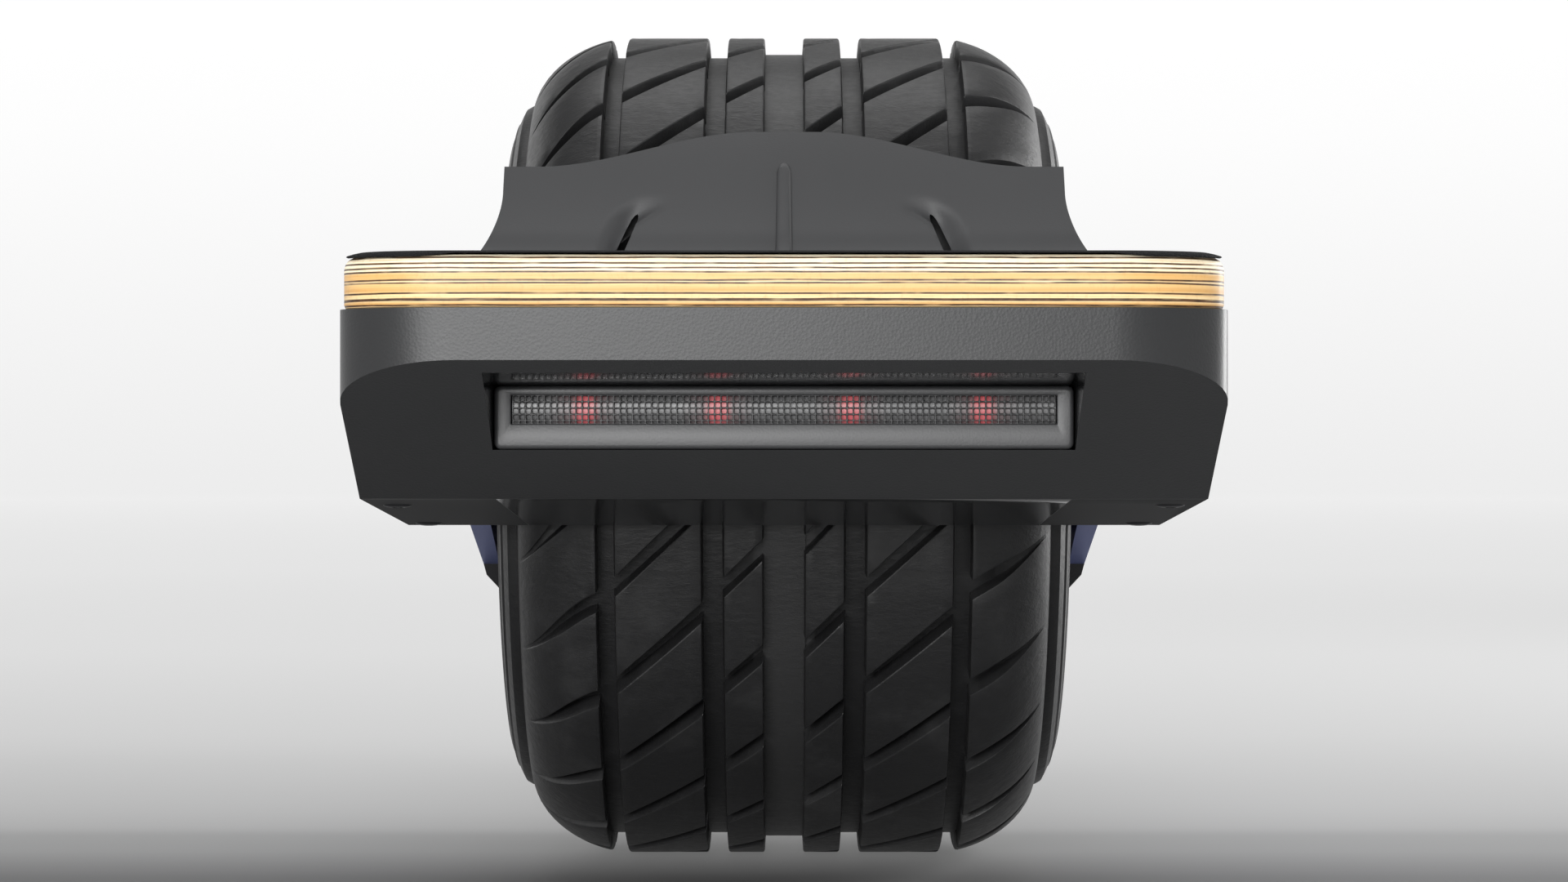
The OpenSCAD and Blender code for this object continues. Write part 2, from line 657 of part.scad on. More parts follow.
mesh_cols = floor((mesh_w - 0.4) / mesh_pitch);
mesh_rows = floor((mesh_h - 0.4) / mesh_pitch);
hole = mesh_pitch * 0.62;
function square_at(x, z) = [[x, z], [x + hole, z], [x + hole, z + hole], [x, z + hole]];
mesh_points = concat(
    [[-mesh_w / 2, 0], [mesh_w / 2, 0], [mesh_w / 2, mesh_h], [-mesh_w / 2, mesh_h]],
    [for (i = [0:mesh_cols - 1], j = [0:mesh_rows - 1], p = square_at(
        (i - (mesh_cols - 1) / 2) * mesh_pitch - hole / 2,
        mesh_h / 2 + (j - (mesh_rows - 1) / 2) * mesh_pitch - hole / 2)) p]);
mesh_paths = [for (k = [0:mesh_cols * mesh_rows]) [for (i = [0:3]) 4 * k + i]];
module light_mesh(end) color("#1e1f21") at_end(end) translate([0, 0, mesh_z0])
    along(panel_d - mesh_t - 0.6, panel_d - 0.6) polygon(mesh_points, mesh_paths);

module led_board(end) color("#1f5a3a") at_end(end) {
    translate([-mesh_w / 2, led_board_d, panel_z0 + 2]) cube([mesh_w, 1.6, light_h - 4]);
    for (i = [0:lamps - 1]) translate([(i - (lamps - 1) / 2) * lamp_pitch - 3.5,
        led_board_d + 1.6 - eps, mesh_z0 + mesh_h / 2 - 3.5]) cube([7, 2, 7]);
}

// ---------- wheel surround ----------

fender_screw_r = 2;
arc_a = 27;                                     // where the skin leaves the foot curve
foot_t = 2.5;
foot_z = deck_rise + foot_t;
arc_point = fender_r * [cos(arc_a), sin(arc_a)];
foot_ctrl = [arc_point[0] + (arc_point[1] - foot_z) * tan(arc_a), foot_z];
function foot_curve(t) = (1 - t) * (1 - t) * [foot_d, foot_z] + 2 * t * (1 - t) * foot_ctrl
    + t * t * arc_point;

lip_n = 46;
side_points = [for (t = [0:0.1:1]) let(z = foot_z + t * (flare_z - foot_z)) [side_x(z), z]];
module shield() difference() {
    intersection() {
        across(-foot_x, foot_x) polygon(concat(
            [[cheek_in_d, rail_z], [deck_in_d - 0.3, rail_z], [deck_in_d - 0.3, deck_rise],
            [foot_d, deck_rise]],
            [for (t = [0:0.125:1]) foot_curve(t)],
            [for (a = [arc_a + 3:3:arc_a + 24]) fender_r * [cos(a), sin(a)]],
            [for (a = [arc_a + 24:-6:arc_a]) (fender_in_r - 1) * [cos(a), sin(a)]],
            [[cheek_in_d, deck_rise - 3]]));
        along(0, half_l) polygon(concat(
            [[-foot_x, rail_z], [foot_x, rail_z]], side_points,
            [for (i = [0:lip_n]) let(x = lip_x * (1 - 2 * i / lip_n)) [x, lip_z(x)]],
            [for (i = [len(side_points) - 1:-1:0]) [-side_points[i][0], side_points[i][1]]]));
    }
    rod_x(fender_in_r, -rail_in, rail_in);
    for (m = [0, 1]) mirror([m, 0, 0]) translate([50, 0, foot_z + 1]) rotate([0, 14, 0])
        translate([-1.8, 0, 0]) cube([3.6, half_l, 20]);
}

module fender() color("#4a4b4d") {
    at_both_ends() shield();
    at_both_sides() difference() {
        across(rail_in, rail_out - 0.5) polygon([
            [-deck_in_d + 0.3, rail_z], [deck_in_d - 0.3, rail_z],
            [deck_in_d - 0.3, deck_rise], [deck_in_d - 22, deck_rise - 3],
            [22 - deck_in_d, deck_rise - 3], [0.3 - deck_in_d, deck_rise]]);
        for (y = fender_screw_ys) translate([screw_x, y, rail_z - 1]) {
            cylinder(r = fender_screw_r + 0.3, h = ply_t + 2);
            translate([0, 0, 5]) cylinder(r = 4.3, h = ply_t + 2);
        }
    }
}

module fender_screws() color("#202124") at_both_sides() for (y = fender_screw_ys)
    translate([screw_x, y, rail_z + 4]) screw(fender_screw_r, 15, 4, 2.4);

// ---------- boxes between the rails ----------

lid_screw_d = [box_d0 + 8, box_d1 - 8];
module lid_screw_places() for (x = [-lid_screw_x, lid_screw_x], d = lid_screw_d)
    translate([x, d, 0]) children();

module tray() difference() {
    union() {
        difference() {
            box([-rail_in, box_d0, box_z0], [rail_in, box_d1, box_z1]);
            box([box_wall - rail_in, box_d0 + box_wall, box_z0 + box_wall],
                [rail_in - box_wall, box_d1 - box_wall, box_z1 + 1]);
        }
        lid_screw_places() translate([0, 0, box_z0 + 1])
            cylinder(r = box_boss_r, h = box_z1 - box_z0 - 1);
    }
    lid_screw_places() translate([0, 0, box_z1 - 12]) cylinder(r = 1.5 + fit, h = 13);
    mirror([1, 0, 0]) rod_x(cable_r + fit, rail_in - box_wall - 1, rail_in + 1, cable_d + bend_r);
}

module lid(end) color("#303235") at_end(end) difference() {
    box([-rail_in, box_d0, box_z1], [rail_in, box_d1, box_z1 + lid_t]);
    lid_screw_places() {
        translate([0, 0, box_z1 - 1]) cylinder(r = 1.5 + fit, h = lid_t + 2);
        translate([0, 0, box_z1 + 1]) cylinder(r = 3.2, h = lid_t);
    }
}

module lid_screws() color("#202124") at_both_ends() lid_screw_places()
    translate([0, 0, box_z1 + 1]) screw(1.5, 11, 3, 1.8);

module controller_tray() color("#303235") at_end("front") difference() {
    union() {
        tray();
        board_posts() cylinder(r = 3.5, h = board_z - box_z0 - box_wall + eps);
    }
    rod_x(cable_r + fit, rail_in - box_wall - 1, rail_in + 1, cable_d + bend_r);
    for (y = [-button_y, -socket_y]) rod_x(3, rail_in - box_wall - 1, rail_in + 1, y, port_z);
}

board_z = box_z0 + box_wall + 4;
board_x = rail_in - 22;
board_d0 = box_d0 + 12;
board_d1 = box_d1 - 12;
module board_posts() for (x = [-board_x + 8, board_x - 8], d = [board_d0 + 8, board_d1 - 8])
    translate([x, d, box_z0 + box_wall - eps]) children();
module controller_board() color("#1f5a3a") at_end("front")
    box([-board_x, board_d0, board_z], [board_x, board_d1, board_z + 1.6]);

module capacitors() color("#2b3f6b") at_end("front") for (i = [-1:1])
    translate([i * 22, (board_d0 + board_d1) / 2, board_z + 1.6]) cylinder(r = 8, h = 22);

module battery_tray() color("#303235") at_end("rear") {
    tray();
    translate([cell_x1 + 1, box_d0 + 1, box_z0 + box_wall - eps])
        cube([box_wall, box_d1 - box_d0 - 2, 14]);
}

cell_l = 65;
cell_x0 = box_boss_r + 1 - lid_screw_x;
cell_x1 = cell_x0 + 2 * cell_l + 2;
cell_rows = floor((box_d1 - box_d0 - 2 * box_wall) / (2 * cell_r + 0.4));
module battery_cells() color("#3f7f4f") at_end("rear")
    for (i = [0:cell_rows - 1], j = [0, 1], k = [0, 1])
        rod_x(cell_r, cell_x0 + k * (cell_l + 1), cell_x0 + k * (cell_l + 1) + cell_l,
            box_d0 + box_wall + cell_r + 0.2 + i * (2 * cell_r + 0.4),
            box_z0 + box_wall + cell_r + j * (2 * cell_r + 0.1));

module bms_board() color("#1f5a3a") at_end("rear") translate([cell_x1 + box_wall + 3,
    box_d0 + 24, box_z0 + box_wall]) cube([1.6, box_d1 - box_d0 - 48, 24]);

// ---------- power button and charging socket in the right rail ----------

switch_r = 7;
socket_body_r = 8;
lug_t = 2.5;
barrel_w = 12;

module port_plate() color("#1b1c1e") lift() difference() {
    union() {
        box([port_x, port_y - port_w / 2 + 0.1, port_z - port_h / 2 + 0.1],
            [port_x + port_t, port_y + port_w / 2 - 0.1, port_z + port_h / 2 - 0.1]);
        for (m = [-1, 1]) translate([port_x + port_t - eps,
            socket_y + m * (barrel_w / 2 + lug_t / 2 + 0.2) - lug_t / 2, cap_axis_z - 1.6])
            cube([3.2, lug_t, 3.2]);
    }
    rod_x(button_r + 0.1, port_x - 1, port_x + port_t + 1, button_y, port_z);
    rod_x(socket_r + 1, port_x - 1, port_x + port_t + 1, socket_y, port_z);
    rod_y(0.9, socket_y - barrel_w, socket_y + barrel_w, cap_axis_x, cap_axis_z);
}

module power_switch() color("#202124") lift() {
    rod_x(switch_r, rail_in, rail_in + 6, button_y, port_z);
    rod_x(2, rail_in + 6 - eps, rail_in + 7, button_y, port_z);
}

module power_button() color("#b9bcc0") lift() {
    rod_x(button_r, port_x + 0.5, port_x + port_t + 1.6, button_y, port_z);
    rod_x(2.5, rail_in + 7.2 + button_travel, port_x + 0.5 + eps, button_y, port_z);
}

module charge_socket() color("#55585c") lift() difference() {
    rod_x(socket_body_r, rail_in + 1, port_x, socket_y, port_z);
    rod_x(socket_r, rail_in + 3, port_x + 1, socket_y, port_z);
}

module charge_cap() color("#1a1a1b") lift() {
    difference() {
        box([port_x + port_t + 0.2, socket_y - 8.5, cap_axis_z],
            [port_x + port_t + 2, socket_y + 8.5, port_z + 9]);
        for (m = [-1, 1]) translate([port_x + port_t,
            socket_y + m * (barrel_w / 2 + lug_t / 2 + 0.2) - lug_t / 2 - 0.3, cap_axis_z - 3])
            cube([4, lug_t + 0.6, 5.6]);
    }
    rod_y(1.4, socket_y - barrel_w / 2, socket_y + barrel_w / 2, cap_axis_x, cap_axis_z);
    rod_y(0.85, socket_y - barrel_w / 2 - 2.4, socket_y + barrel_w / 2 + 2.4,
        cap_axis_x, cap_axis_z);
}

tyre();
valve_stem();
rim();
rotor_ring();
magnets();
motor_cover("left");  // motor_cover_left
motor_cover("right");  // motor_cover_right
cover_screws();
bearing_outer_races();
axle_seals();
axle();
stator_hub();
stator_core();
stator_coils();
bearing_inner_races();
bearing_balls();
axle_block("left");  // axle_block_left
axle_block("right");  // axle_block_right
axle_block_bolts();
pinch_bolts();
motor_cable();
power_cable();
rail("left");  // rail_left
rail("right");  // rail_right
rail_guard("left");  // rail_guard_left
rail_guard("right");  // rail_guard_right
guard_screws();
deck("front");  // front_deck
deck("rear");  // rear_deck
grip("front");  // front_grip
grip("rear");  // rear_grip
deck_screws();
foot_sensor();
bumper("front");  // front_bumper
bumper("rear");  // rear_bumper
bumper_screws();
light_panel("front");  // front_light_panel
light_panel("rear");  // rear_light_panel
light_mesh("front");  // front_light_mesh
light_mesh("rear");  // rear_light_mesh
led_board("front");  // front_led_board
led_board("rear");  // rear_led_board
fender();
fender_screws();
controller_tray();
lid("front");  // controller_lid
controller_board();
capacitors();
battery_tray();
lid("rear");  // battery_lid
battery_cells();
bms_board();
lid_screws();
port_plate();
power_switch();
power_button();
charge_socket();
charge_cap();
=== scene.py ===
"""Looks of the single-wheel self balancing board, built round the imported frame."""

import itertools
import json
import math
import random

import bmesh
import bpy
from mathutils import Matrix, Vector

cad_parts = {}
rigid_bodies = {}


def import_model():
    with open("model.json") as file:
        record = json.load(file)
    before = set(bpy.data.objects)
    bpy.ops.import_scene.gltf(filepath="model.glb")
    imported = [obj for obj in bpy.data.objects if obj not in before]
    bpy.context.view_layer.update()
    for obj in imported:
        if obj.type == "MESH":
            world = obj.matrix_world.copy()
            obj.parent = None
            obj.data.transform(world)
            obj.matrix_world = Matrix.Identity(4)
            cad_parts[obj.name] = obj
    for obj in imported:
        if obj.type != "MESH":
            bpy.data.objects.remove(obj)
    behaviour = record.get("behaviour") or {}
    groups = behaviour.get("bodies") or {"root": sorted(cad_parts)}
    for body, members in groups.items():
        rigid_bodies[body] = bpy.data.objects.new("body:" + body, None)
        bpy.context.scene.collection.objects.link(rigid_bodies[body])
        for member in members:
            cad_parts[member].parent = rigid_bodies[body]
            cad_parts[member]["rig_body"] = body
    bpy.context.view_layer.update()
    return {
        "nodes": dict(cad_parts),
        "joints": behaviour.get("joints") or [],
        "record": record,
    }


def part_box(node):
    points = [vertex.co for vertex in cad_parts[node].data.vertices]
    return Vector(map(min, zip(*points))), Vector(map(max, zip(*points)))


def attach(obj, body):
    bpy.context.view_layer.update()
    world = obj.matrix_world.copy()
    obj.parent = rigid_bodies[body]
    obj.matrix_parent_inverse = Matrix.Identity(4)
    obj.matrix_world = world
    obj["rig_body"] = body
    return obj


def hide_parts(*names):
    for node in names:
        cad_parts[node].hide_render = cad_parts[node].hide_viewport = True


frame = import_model()

MM = 0.001
SCENE = bpy.context.scene


# ---------------------------------------------------------------- sizes, in metres

def spin_centre():
    """Height of the wheel axle."""
    return next(j for j in frame["joints"] if j["name"] == "wheel_spin")["pos_m"][2]


AXLE = spin_centre()
TYRE_R = AXLE
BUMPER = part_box("front_bumper")
HALF_L = -BUMPER[0].y
PAN_IN = -BUMPER[1].y
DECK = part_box("front_deck")
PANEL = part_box("front_light_panel")
PANEL_D = -PANEL[0].y                          # front of a light panel
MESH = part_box("front_light_mesh")
FACE_SLOPE = math.tan(math.radians(29.6))      # lower face of a bumper
PAN_SLOPE = math.tan(math.radians(4.4))        # underside of a bumper
BELT_Z = AXLE + 22.4 * MM                      # crease between nose band and lower face
PAN_LOW = BUMPER[0].z
SLOTS = {s["node"]: s["material_slot"] for s in frame["record"]["subparts"]}
ENDS = ("front", "rear")


# ---------------------------------------------------------------- shader arithmetic

class Value:
    """A node socket that takes part in Python arithmetic."""

    def __init__(self, finish, socket):
        self.finish, self.socket = finish, socket

    def math(self, operation, *others, clamp=False):
        inputs = dict(enumerate((self, *others)))
        return self.finish.node("Math", {"operation": operation, "use_clamp": clamp}, inputs)

    def __add__(self, other):
        return self.math("ADD", other)

    def __sub__(self, other):
        return self.math("SUBTRACT", other)

    def __mul__(self, other):
        return self.math("MULTIPLY", other)

    def __truediv__(self, other):
        return self.math("DIVIDE", other)

    def __pow__(self, other):
        return self.math("POWER", other)

    def __rsub__(self, other):
        return self.finish.node("Math", {"operation": "SUBTRACT"}, {0: other, 1: self})

    def __rtruediv__(self, other):
        return self.finish.node("Math", {"operation": "DIVIDE"}, {0: other, 1: self})

    __radd__ = __add__
    __rmul__ = __mul__

    def clamp(self):
        return self.math("ADD", 0.0, clamp=True)

    def ramp(self, low, high):
        """0 below low, 1 above high, with a smooth rise between them."""
        return self.finish.node(
            "MapRange", {"interpolation_type": "SMOOTHSTEP"},
            {"Value": self, "From Min": low, "From Max": high})


class Finish:
    """A material in the making: its nodes and the shader that they feed."""

    def __init__(self, name, **constants):
        self.material = bpy.data.materials.new(name)
        self.material.use_nodes = True
        self.tree = self.material.node_tree
        self.shader = self.tree.nodes["Principled BSDF"]
        for key, value in constants.items():
            self.put(self.shader.inputs[key.replace("_", " ").title().replace("Ior", "IOR")], value)

    def put(self, socket, value):
        """Links a Value to a socket, or sets the socket to a plain number, colour or vector."""
        if isinstance(value, Value):
            self.tree.links.new(value.socket, socket)
        elif hasattr(socket.default_value, "__len__"):
            socket.default_value = (*value, 1.0)[:len(socket.default_value)]
        else:
            socket.default_value = value

    def node(self, kind, settings=None, inputs=None, out=0):
        """Adds a node, sets it up, feeds it, and returns one of its outputs."""
        made = self.tree.nodes.new("ShaderNode" + kind)
        for key, value in (settings or {}).items():
            if key == "stops":
                elements = made.color_ramp.elements
                while len(elements) < len(value):
                    elements.new(0.5)
                for element, (place, colour) in zip(elements, value):
                    element.position, element.color = place, (*colour, 1.0)
            else:
                setattr(made, key, value)
        for key, value in (inputs or {}).items():
            self.put(made.inputs[key], value)
        return Value(self, made.outputs[out])

    def place(self):
        """Position in the object's own metres."""
        return self.node("TexCoord", out="Object")

    def axis(self, name):
        return self.node("SeparateXYZ", inputs={0: self.place()}, out=name)

    def stretched(self, x, y, z):
        """Position with each axis multiplied by its own factor."""
        return self.node("VectorMath", {"operation": "MULTIPLY"}, {0: self.place(), 1: (x, y, z)})

    def noise(self, scale, detail=3.0, roughness=0.55, at=None):
        inputs = {"Scale": scale, "Detail": detail, "Roughness": roughness,
                  "Vector": at or self.place()}
        return self.node("TexNoise", inputs=inputs)

    def cells(self, scale, feature="F1", at=None, randomness=1.0):
        inputs = {"Scale": scale, "Vector": at or self.place(), "Randomness": randomness}
        return self.node("TexVoronoi", {"feature": feature}, inputs)

    def mix(self, factor, low, high):
        made = self.tree.nodes.new("ShaderNodeMix")
        made.data_type = "RGBA"
        self.put(made.inputs["Factor"], factor)
        self.put(made.inputs[6], low)
        self.put(made.inputs[7], high)
        return Value(self, made.outputs[2])

    def blend(self, factor, low, high):
        """Mix of two numbers."""
        return self.node("MapRange", {}, {"Value": factor, "To Min": low, "To Max": high})

    def bump(self, height, distance, strength=1.0):
        """Raises the surface by height, in metres at most distance."""
        self.feed("Normal", self.node("Bump", {}, {
            "Strength": strength, "Distance": distance, "Height": height}))

    def feed(self, socket, value):
        self.put(self.shader.inputs[socket], value)


# ---------------------------------------------------------------- finishes

def tyre_rubber():
    f = Finish("tyre_rubber", specular_ior_level=0.42)
    cloud = f.noise(34, 5, 0.6)
    fine = f.noise(420, 4, 0.6)
    creases = f.noise(26, 6, 0.7, at=f.stretched(1.0, 2.6, 2.6))
    dust = cloud.ramp(0.46, 0.72)
    y, z = f.axis("Y"), f.axis("Z") - AXLE
    radius = (y * y + z * z).math("SQRT")
    floor = 1 - radius.ramp(AXLE - 6.6 * MM, AXLE - 4.0 * MM)
    rubber = f.mix(dust, (0.012, 0.012, 0.0125), (0.024, 0.024, 0.0245))
    middle = floor * (1 - f.axis("X").math("ABSOLUTE").ramp(9.5 * MM, 10.5 * MM))
    # painted shade: the groove floors are darker than the tops of the blocks
    rubber = f.mix(floor * 0.6, rubber, (0.009, 0.009, 0.0095))
    # painted light: the floor of the middle groove is lighter than the rest of the rubber
    f.feed("Base Color", f.mix(middle, rubber, (0.030, 0.030, 0.0305)))
    f.feed("Roughness", f.blend(fine, 0.34, 0.56))
    f.bump(fine * 0.30 + creases.ramp(0.35, 0.75) * 0.70, 0.4 * MM, 0.6)
    return f.material


def seal_rubber():
    f = Finish("seal_rubber", base_color=(0.016, 0.016, 0.017), specular_ior_level=0.4)
    grain = f.noise(900, 3)
    f.feed("Roughness", f.blend(grain, 0.45, 0.65))
    f.bump(grain, 0.05 * MM, 0.5)
    return f.material


def moulded(name, colour, rough, scale=1500, depth=0.05, change=0.25):
    """Moulded plastic with a fine spark-eroded grain."""
    f = Finish(name, specular_ior_level=0.45)
    cloud = f.noise(9, 4)
    grain = f.cells(scale)
    lighter = tuple(c * (1 + change) for c in colour)
    f.feed("Base Color", f.mix(cloud.ramp(0.3, 0.7), colour, lighter))
    f.feed("Roughness", f.blend(cloud, rough - 0.05, rough + 0.06))
    f.bump(grain * 0.7 + f.noise(scale * 0.5, 2) * 0.3, depth * MM, 0.6)
    return f.material


def bumper_plastic():
    """Black moulding with a fine grain, polished in the light pockets."""
    f = Finish("bumper_plastic", specular_ior_level=0.27)
    cloud, grain = f.noise(9, 4), f.cells(1300)
    x, d, z = f.axis("X").math("ABSOLUTE"), f.axis("Y").math("ABSOLUTE"), f.axis("Z")
    above_face = z - BELT_Z + (HALF_L - d) * FACE_SLOPE
    pocket = above_face.ramp(0.4 * MM, 0.9 * MM) * (1 - x.ramp(79.3 * MM, 79.8 * MM))
    pocket = pocket * (1 - z.ramp(AXLE + 20.6 * MM, AXLE + 21.0 * MM))
    f.feed("Base Color", f.mix(cloud.ramp(0.3, 0.7), (0.021, 0.0215, 0.0225), (0.024, 0.0245, 0.0255)))
    under = 1 - z.ramp(AXLE - 14.8 * MM, AXLE - 14.3 * MM)
    f.feed("Roughness", f.blend(pocket, f.blend(cloud, 0.31, 0.39) + under * 0.32, 0.13))
    f.bump((grain * 0.7 + f.noise(650, 2) * 0.3) * (1 - pocket), 0.05 * MM, 0.6)
    return f.material


def anodised(name, colour, rough=0.36, metallic=0.85):
    """Bead-blasted and anodised aluminium."""
    f = Finish(name, metallic=metallic)
    cloud = f.noise(7, 3)
    grain = f.noise(2600, 2)
    deeper = tuple(c * 0.82 for c in colour)
    f.feed("Base Color", f.mix(cloud.ramp(0.35, 0.65), deeper, colour))
    f.feed("Roughness", f.blend(cloud * 0.4 + grain * 0.6, rough - 0.08, rough + 0.12))
    f.bump(grain, 0.03 * MM, 0.4)
    return f.material


def turned_metal(name, colour, rough=0.3, metallic=1.0):
    """Machined metal with faint tool marks."""
    f = Finish(name, metallic=metallic)
    marks = f.noise(60, 4, 0.6, at=f.stretched(30, 1, 1))
    f.feed("Base Color", f.mix(marks, tuple(c * 0.8 for c in colour), colour))
    f.feed("Roughness", f.blend(marks, rough - 0.08, rough + 0.14))
    f.bump(marks, 0.03 * MM, 0.35)
    return f.material


def cast_paint():
    """Powder coat over a casting."""
    f = Finish("cast_black", specular_ior_level=0.5)
    peel = f.noise(520, 3)
    cloud = f.noise(12, 3)
    f.feed("Base Color", f.mix(cloud, (0.026, 0.027, 0.029), (0.045, 0.046, 0.049)))
    f.feed("Roughness", f.blend(cloud, 0.38, 0.52))
    f.bump(peel, 0.12 * MM, 0.5)
    return f.material


GLUE_LINES = (0.045, 0.135, 0.155, 0.265, 0.455, 0.51, 0.66, 0.735, 0.82, 0.93)


def plywood():
    """Laminated birch seen on its edge: pale and tan sheets, each glued to the next with a dark line."""
    f = Finish("birch_plywood", coat_roughness=0.3, specular_ior_level=0.35, coat_weight=0.15)
    depth = DECK[1].z - DECK[0].z
    x, y, z = f.axis("X"), f.axis("Y"), f.axis("Z")
    sway = f.noise(7, 2, at=f.stretched(1, 1, 0.1)) - 0.5
    height = (z - DECK[0].z) / depth + sway * 0.05
    line = None
    for k, level in enumerate(GLUE_LINES):
        wave = f.noise(28 + 3 * k, 3, at=f.node("CombineXYZ", inputs={0: x, 1: y, 2: 0.37 * k})) - 0.5
        apart = f.node("CombineXYZ", inputs={0: x, 1: y, 2: 0.71 * k + 0.2})
        broken = f.noise(90, 2, at=apart).ramp(0.25, 0.5)
        gap = (height + wave * 0.030 - level).math("ABSOLUTE")
        here = (1 - gap.ramp(0.009, 0.024)) * (broken * 0.45 + 0.55)
        line = here if line is None else line.math("MAXIMUM", here)
    tone = f.node("ValToRGB", {"stops": [
        (0.0, (0.80, 0.61, 0.34)), (0.07, (0.65, 0.37, 0.13)), (0.145, (0.84, 0.65, 0.37)),
        (0.27, (0.80, 0.57, 0.28)), (0.32, (0.62, 0.34, 0.11)), (0.44, (0.76, 0.51, 0.22)),
        (0.47, (0.86, 0.70, 0.43)), (0.53, (0.71, 0.43, 0.165)), (0.62, (0.66, 0.385, 0.13)),
        (0.68, (0.92, 0.80, 0.55)), (0.78, (0.93, 0.83, 0.60)), (0.9, (0.95, 0.87, 0.66)),
        (1.0, (0.95, 0.88, 0.68))]}, {0: height.clamp()})
    long_grain = f.noise(140, 5, 0.75, at=f.stretched(0.35, 0.35, 26))
    end_grain = f.noise(700, 3, 0.7, at=f.stretched(1, 1, 0.5))
    wood = f.mix(long_grain.ramp(0.42, 0.72) * 0.7, tone, (0.58, 0.31, 0.09))
    wood = f.mix(end_grain.ramp(0.5, 0.75) * 0.22, wood, (0.40, 0.20, 0.06))
    face_grain = f.noise(60, 6, 0.7, at=f.stretched(6, 0.7, 1)).ramp(0.3, 0.75)
    flat = (height.ramp(0.985, 0.998) + (1 - height.ramp(0.002, 0.015))).clamp()
    wood = f.mix(flat, wood, f.mix(face_grain, (0.80, 0.62, 0.36), (0.66, 0.45, 0.22)))
    glue = f.mix(f.noise(300, 2).ramp(0.3, 0.7), (0.030, 0.014, 0.006), (0.11, 0.052, 0.022))
    edge_line = line * (1 - flat)
    f.feed("Base Color", f.mix(edge_line, wood, glue))
    f.feed("Roughness", f.blend(long_grain, 0.38, 0.58))
    f.bump(1 - edge_line * 0.8 + end_grain * 0.15, 0.15 * MM, 0.5)
    return f.material


def grip_sheet():
    """Grit bonded to a black sheet."""
    f = Finish("grip_sheet", specular_ior_level=0.15)
    grit = f.cells(1500)
    sparkle = f.noise(2400, 2).ramp(0.62, 0.74)
    worn = f.noise(11, 4).ramp(0.45, 0.75)
    # painted glints: the sparkle specks are lighter in colour as well as smoother
    f.feed("Base Color", f.mix(worn * 0.5 + sparkle * 0.5, (0.007, 0.007, 0.008), (0.028, 0.028, 0.030)))
    f.feed("Roughness", f.blend(sparkle, 0.9, 0.6))
    f.bump(1 - grit, 0.45 * MM, 0.9)
    return f.material


def circuit_board():
    f = Finish("circuit_board", specular_ior_level=0.5)
    tracks = f.cells(160, randomness=0.4).ramp(0.2, 0.25)
    f.feed("Base Color", f.mix(tracks, (0.30, 0.24, 0.08), (0.012, 0.09, 0.045)))
    f.feed("Roughness", f.blend(tracks, 0.25, 0.42))
    return f.material


def wound_copper():
    f = Finish("copper_winding", metallic=0.9)
    wires = f.node("TexWave", {"wave_type": "BANDS", "bands_direction": "X"}, {
        "Scale": 300.0, "Distortion": 1.0, "Vector": f.place()})
    f.feed("Base Color", f.mix(wires, (0.32, 0.10, 0.03), (0.62, 0.26, 0.10)))
    f.feed("Roughness", f.blend(wires, 0.28, 0.45))
    f.bump(wires, 0.2 * MM, 0.7)
    return f.material


LAMP_PITCH = 35.8 * MM
LAMP_REACH = 4.4 * MM
LAMP_RISE = 6.0 * MM


def lamp_glow():
    """Diffuser behind the perforated window: grey, with a red lamp glowing through in four places."""
    f = Finish("lamp_glow", base_color=(0.12, 0.12, 0.125), emission_strength=0.30)
    centre = ((f.axis("X") / LAMP_PITCH - 0.5).math("ROUND") + 0.5) * LAMP_PITCH
    reach = (f.axis("X") - centre) / LAMP_REACH
    tall = (f.axis("Z") - (MESH[0].z + MESH[1].z) / 2) / LAMP_RISE
    spot = 1 - ((reach * reach + tall * tall).math("SQRT")).ramp(0.35, 1.0)
    halo = 1 - ((reach * reach * 0.2 + tall * tall * 0.3).math("SQRT")).ramp(0.2, 1.1)
    cloud = f.noise(200, 2)
    glow = (spot * 0.9 + halo * 0.1).clamp()
    frosted = f.mix(cloud, (0.060, 0.060, 0.062), (0.078, 0.078, 0.080))
    f.feed("Base Color", f.mix(glow * 0.8, frosted, (0.33, 0.05, 0.06)))
    f.feed("Roughness", f.blend(cloud, 0.25, 0.4))
    f.feed("Emission Color", f.mix(glow, (0.0, 0.0, 0.0), (0.72, 0.085, 0.10)))
    return f.material


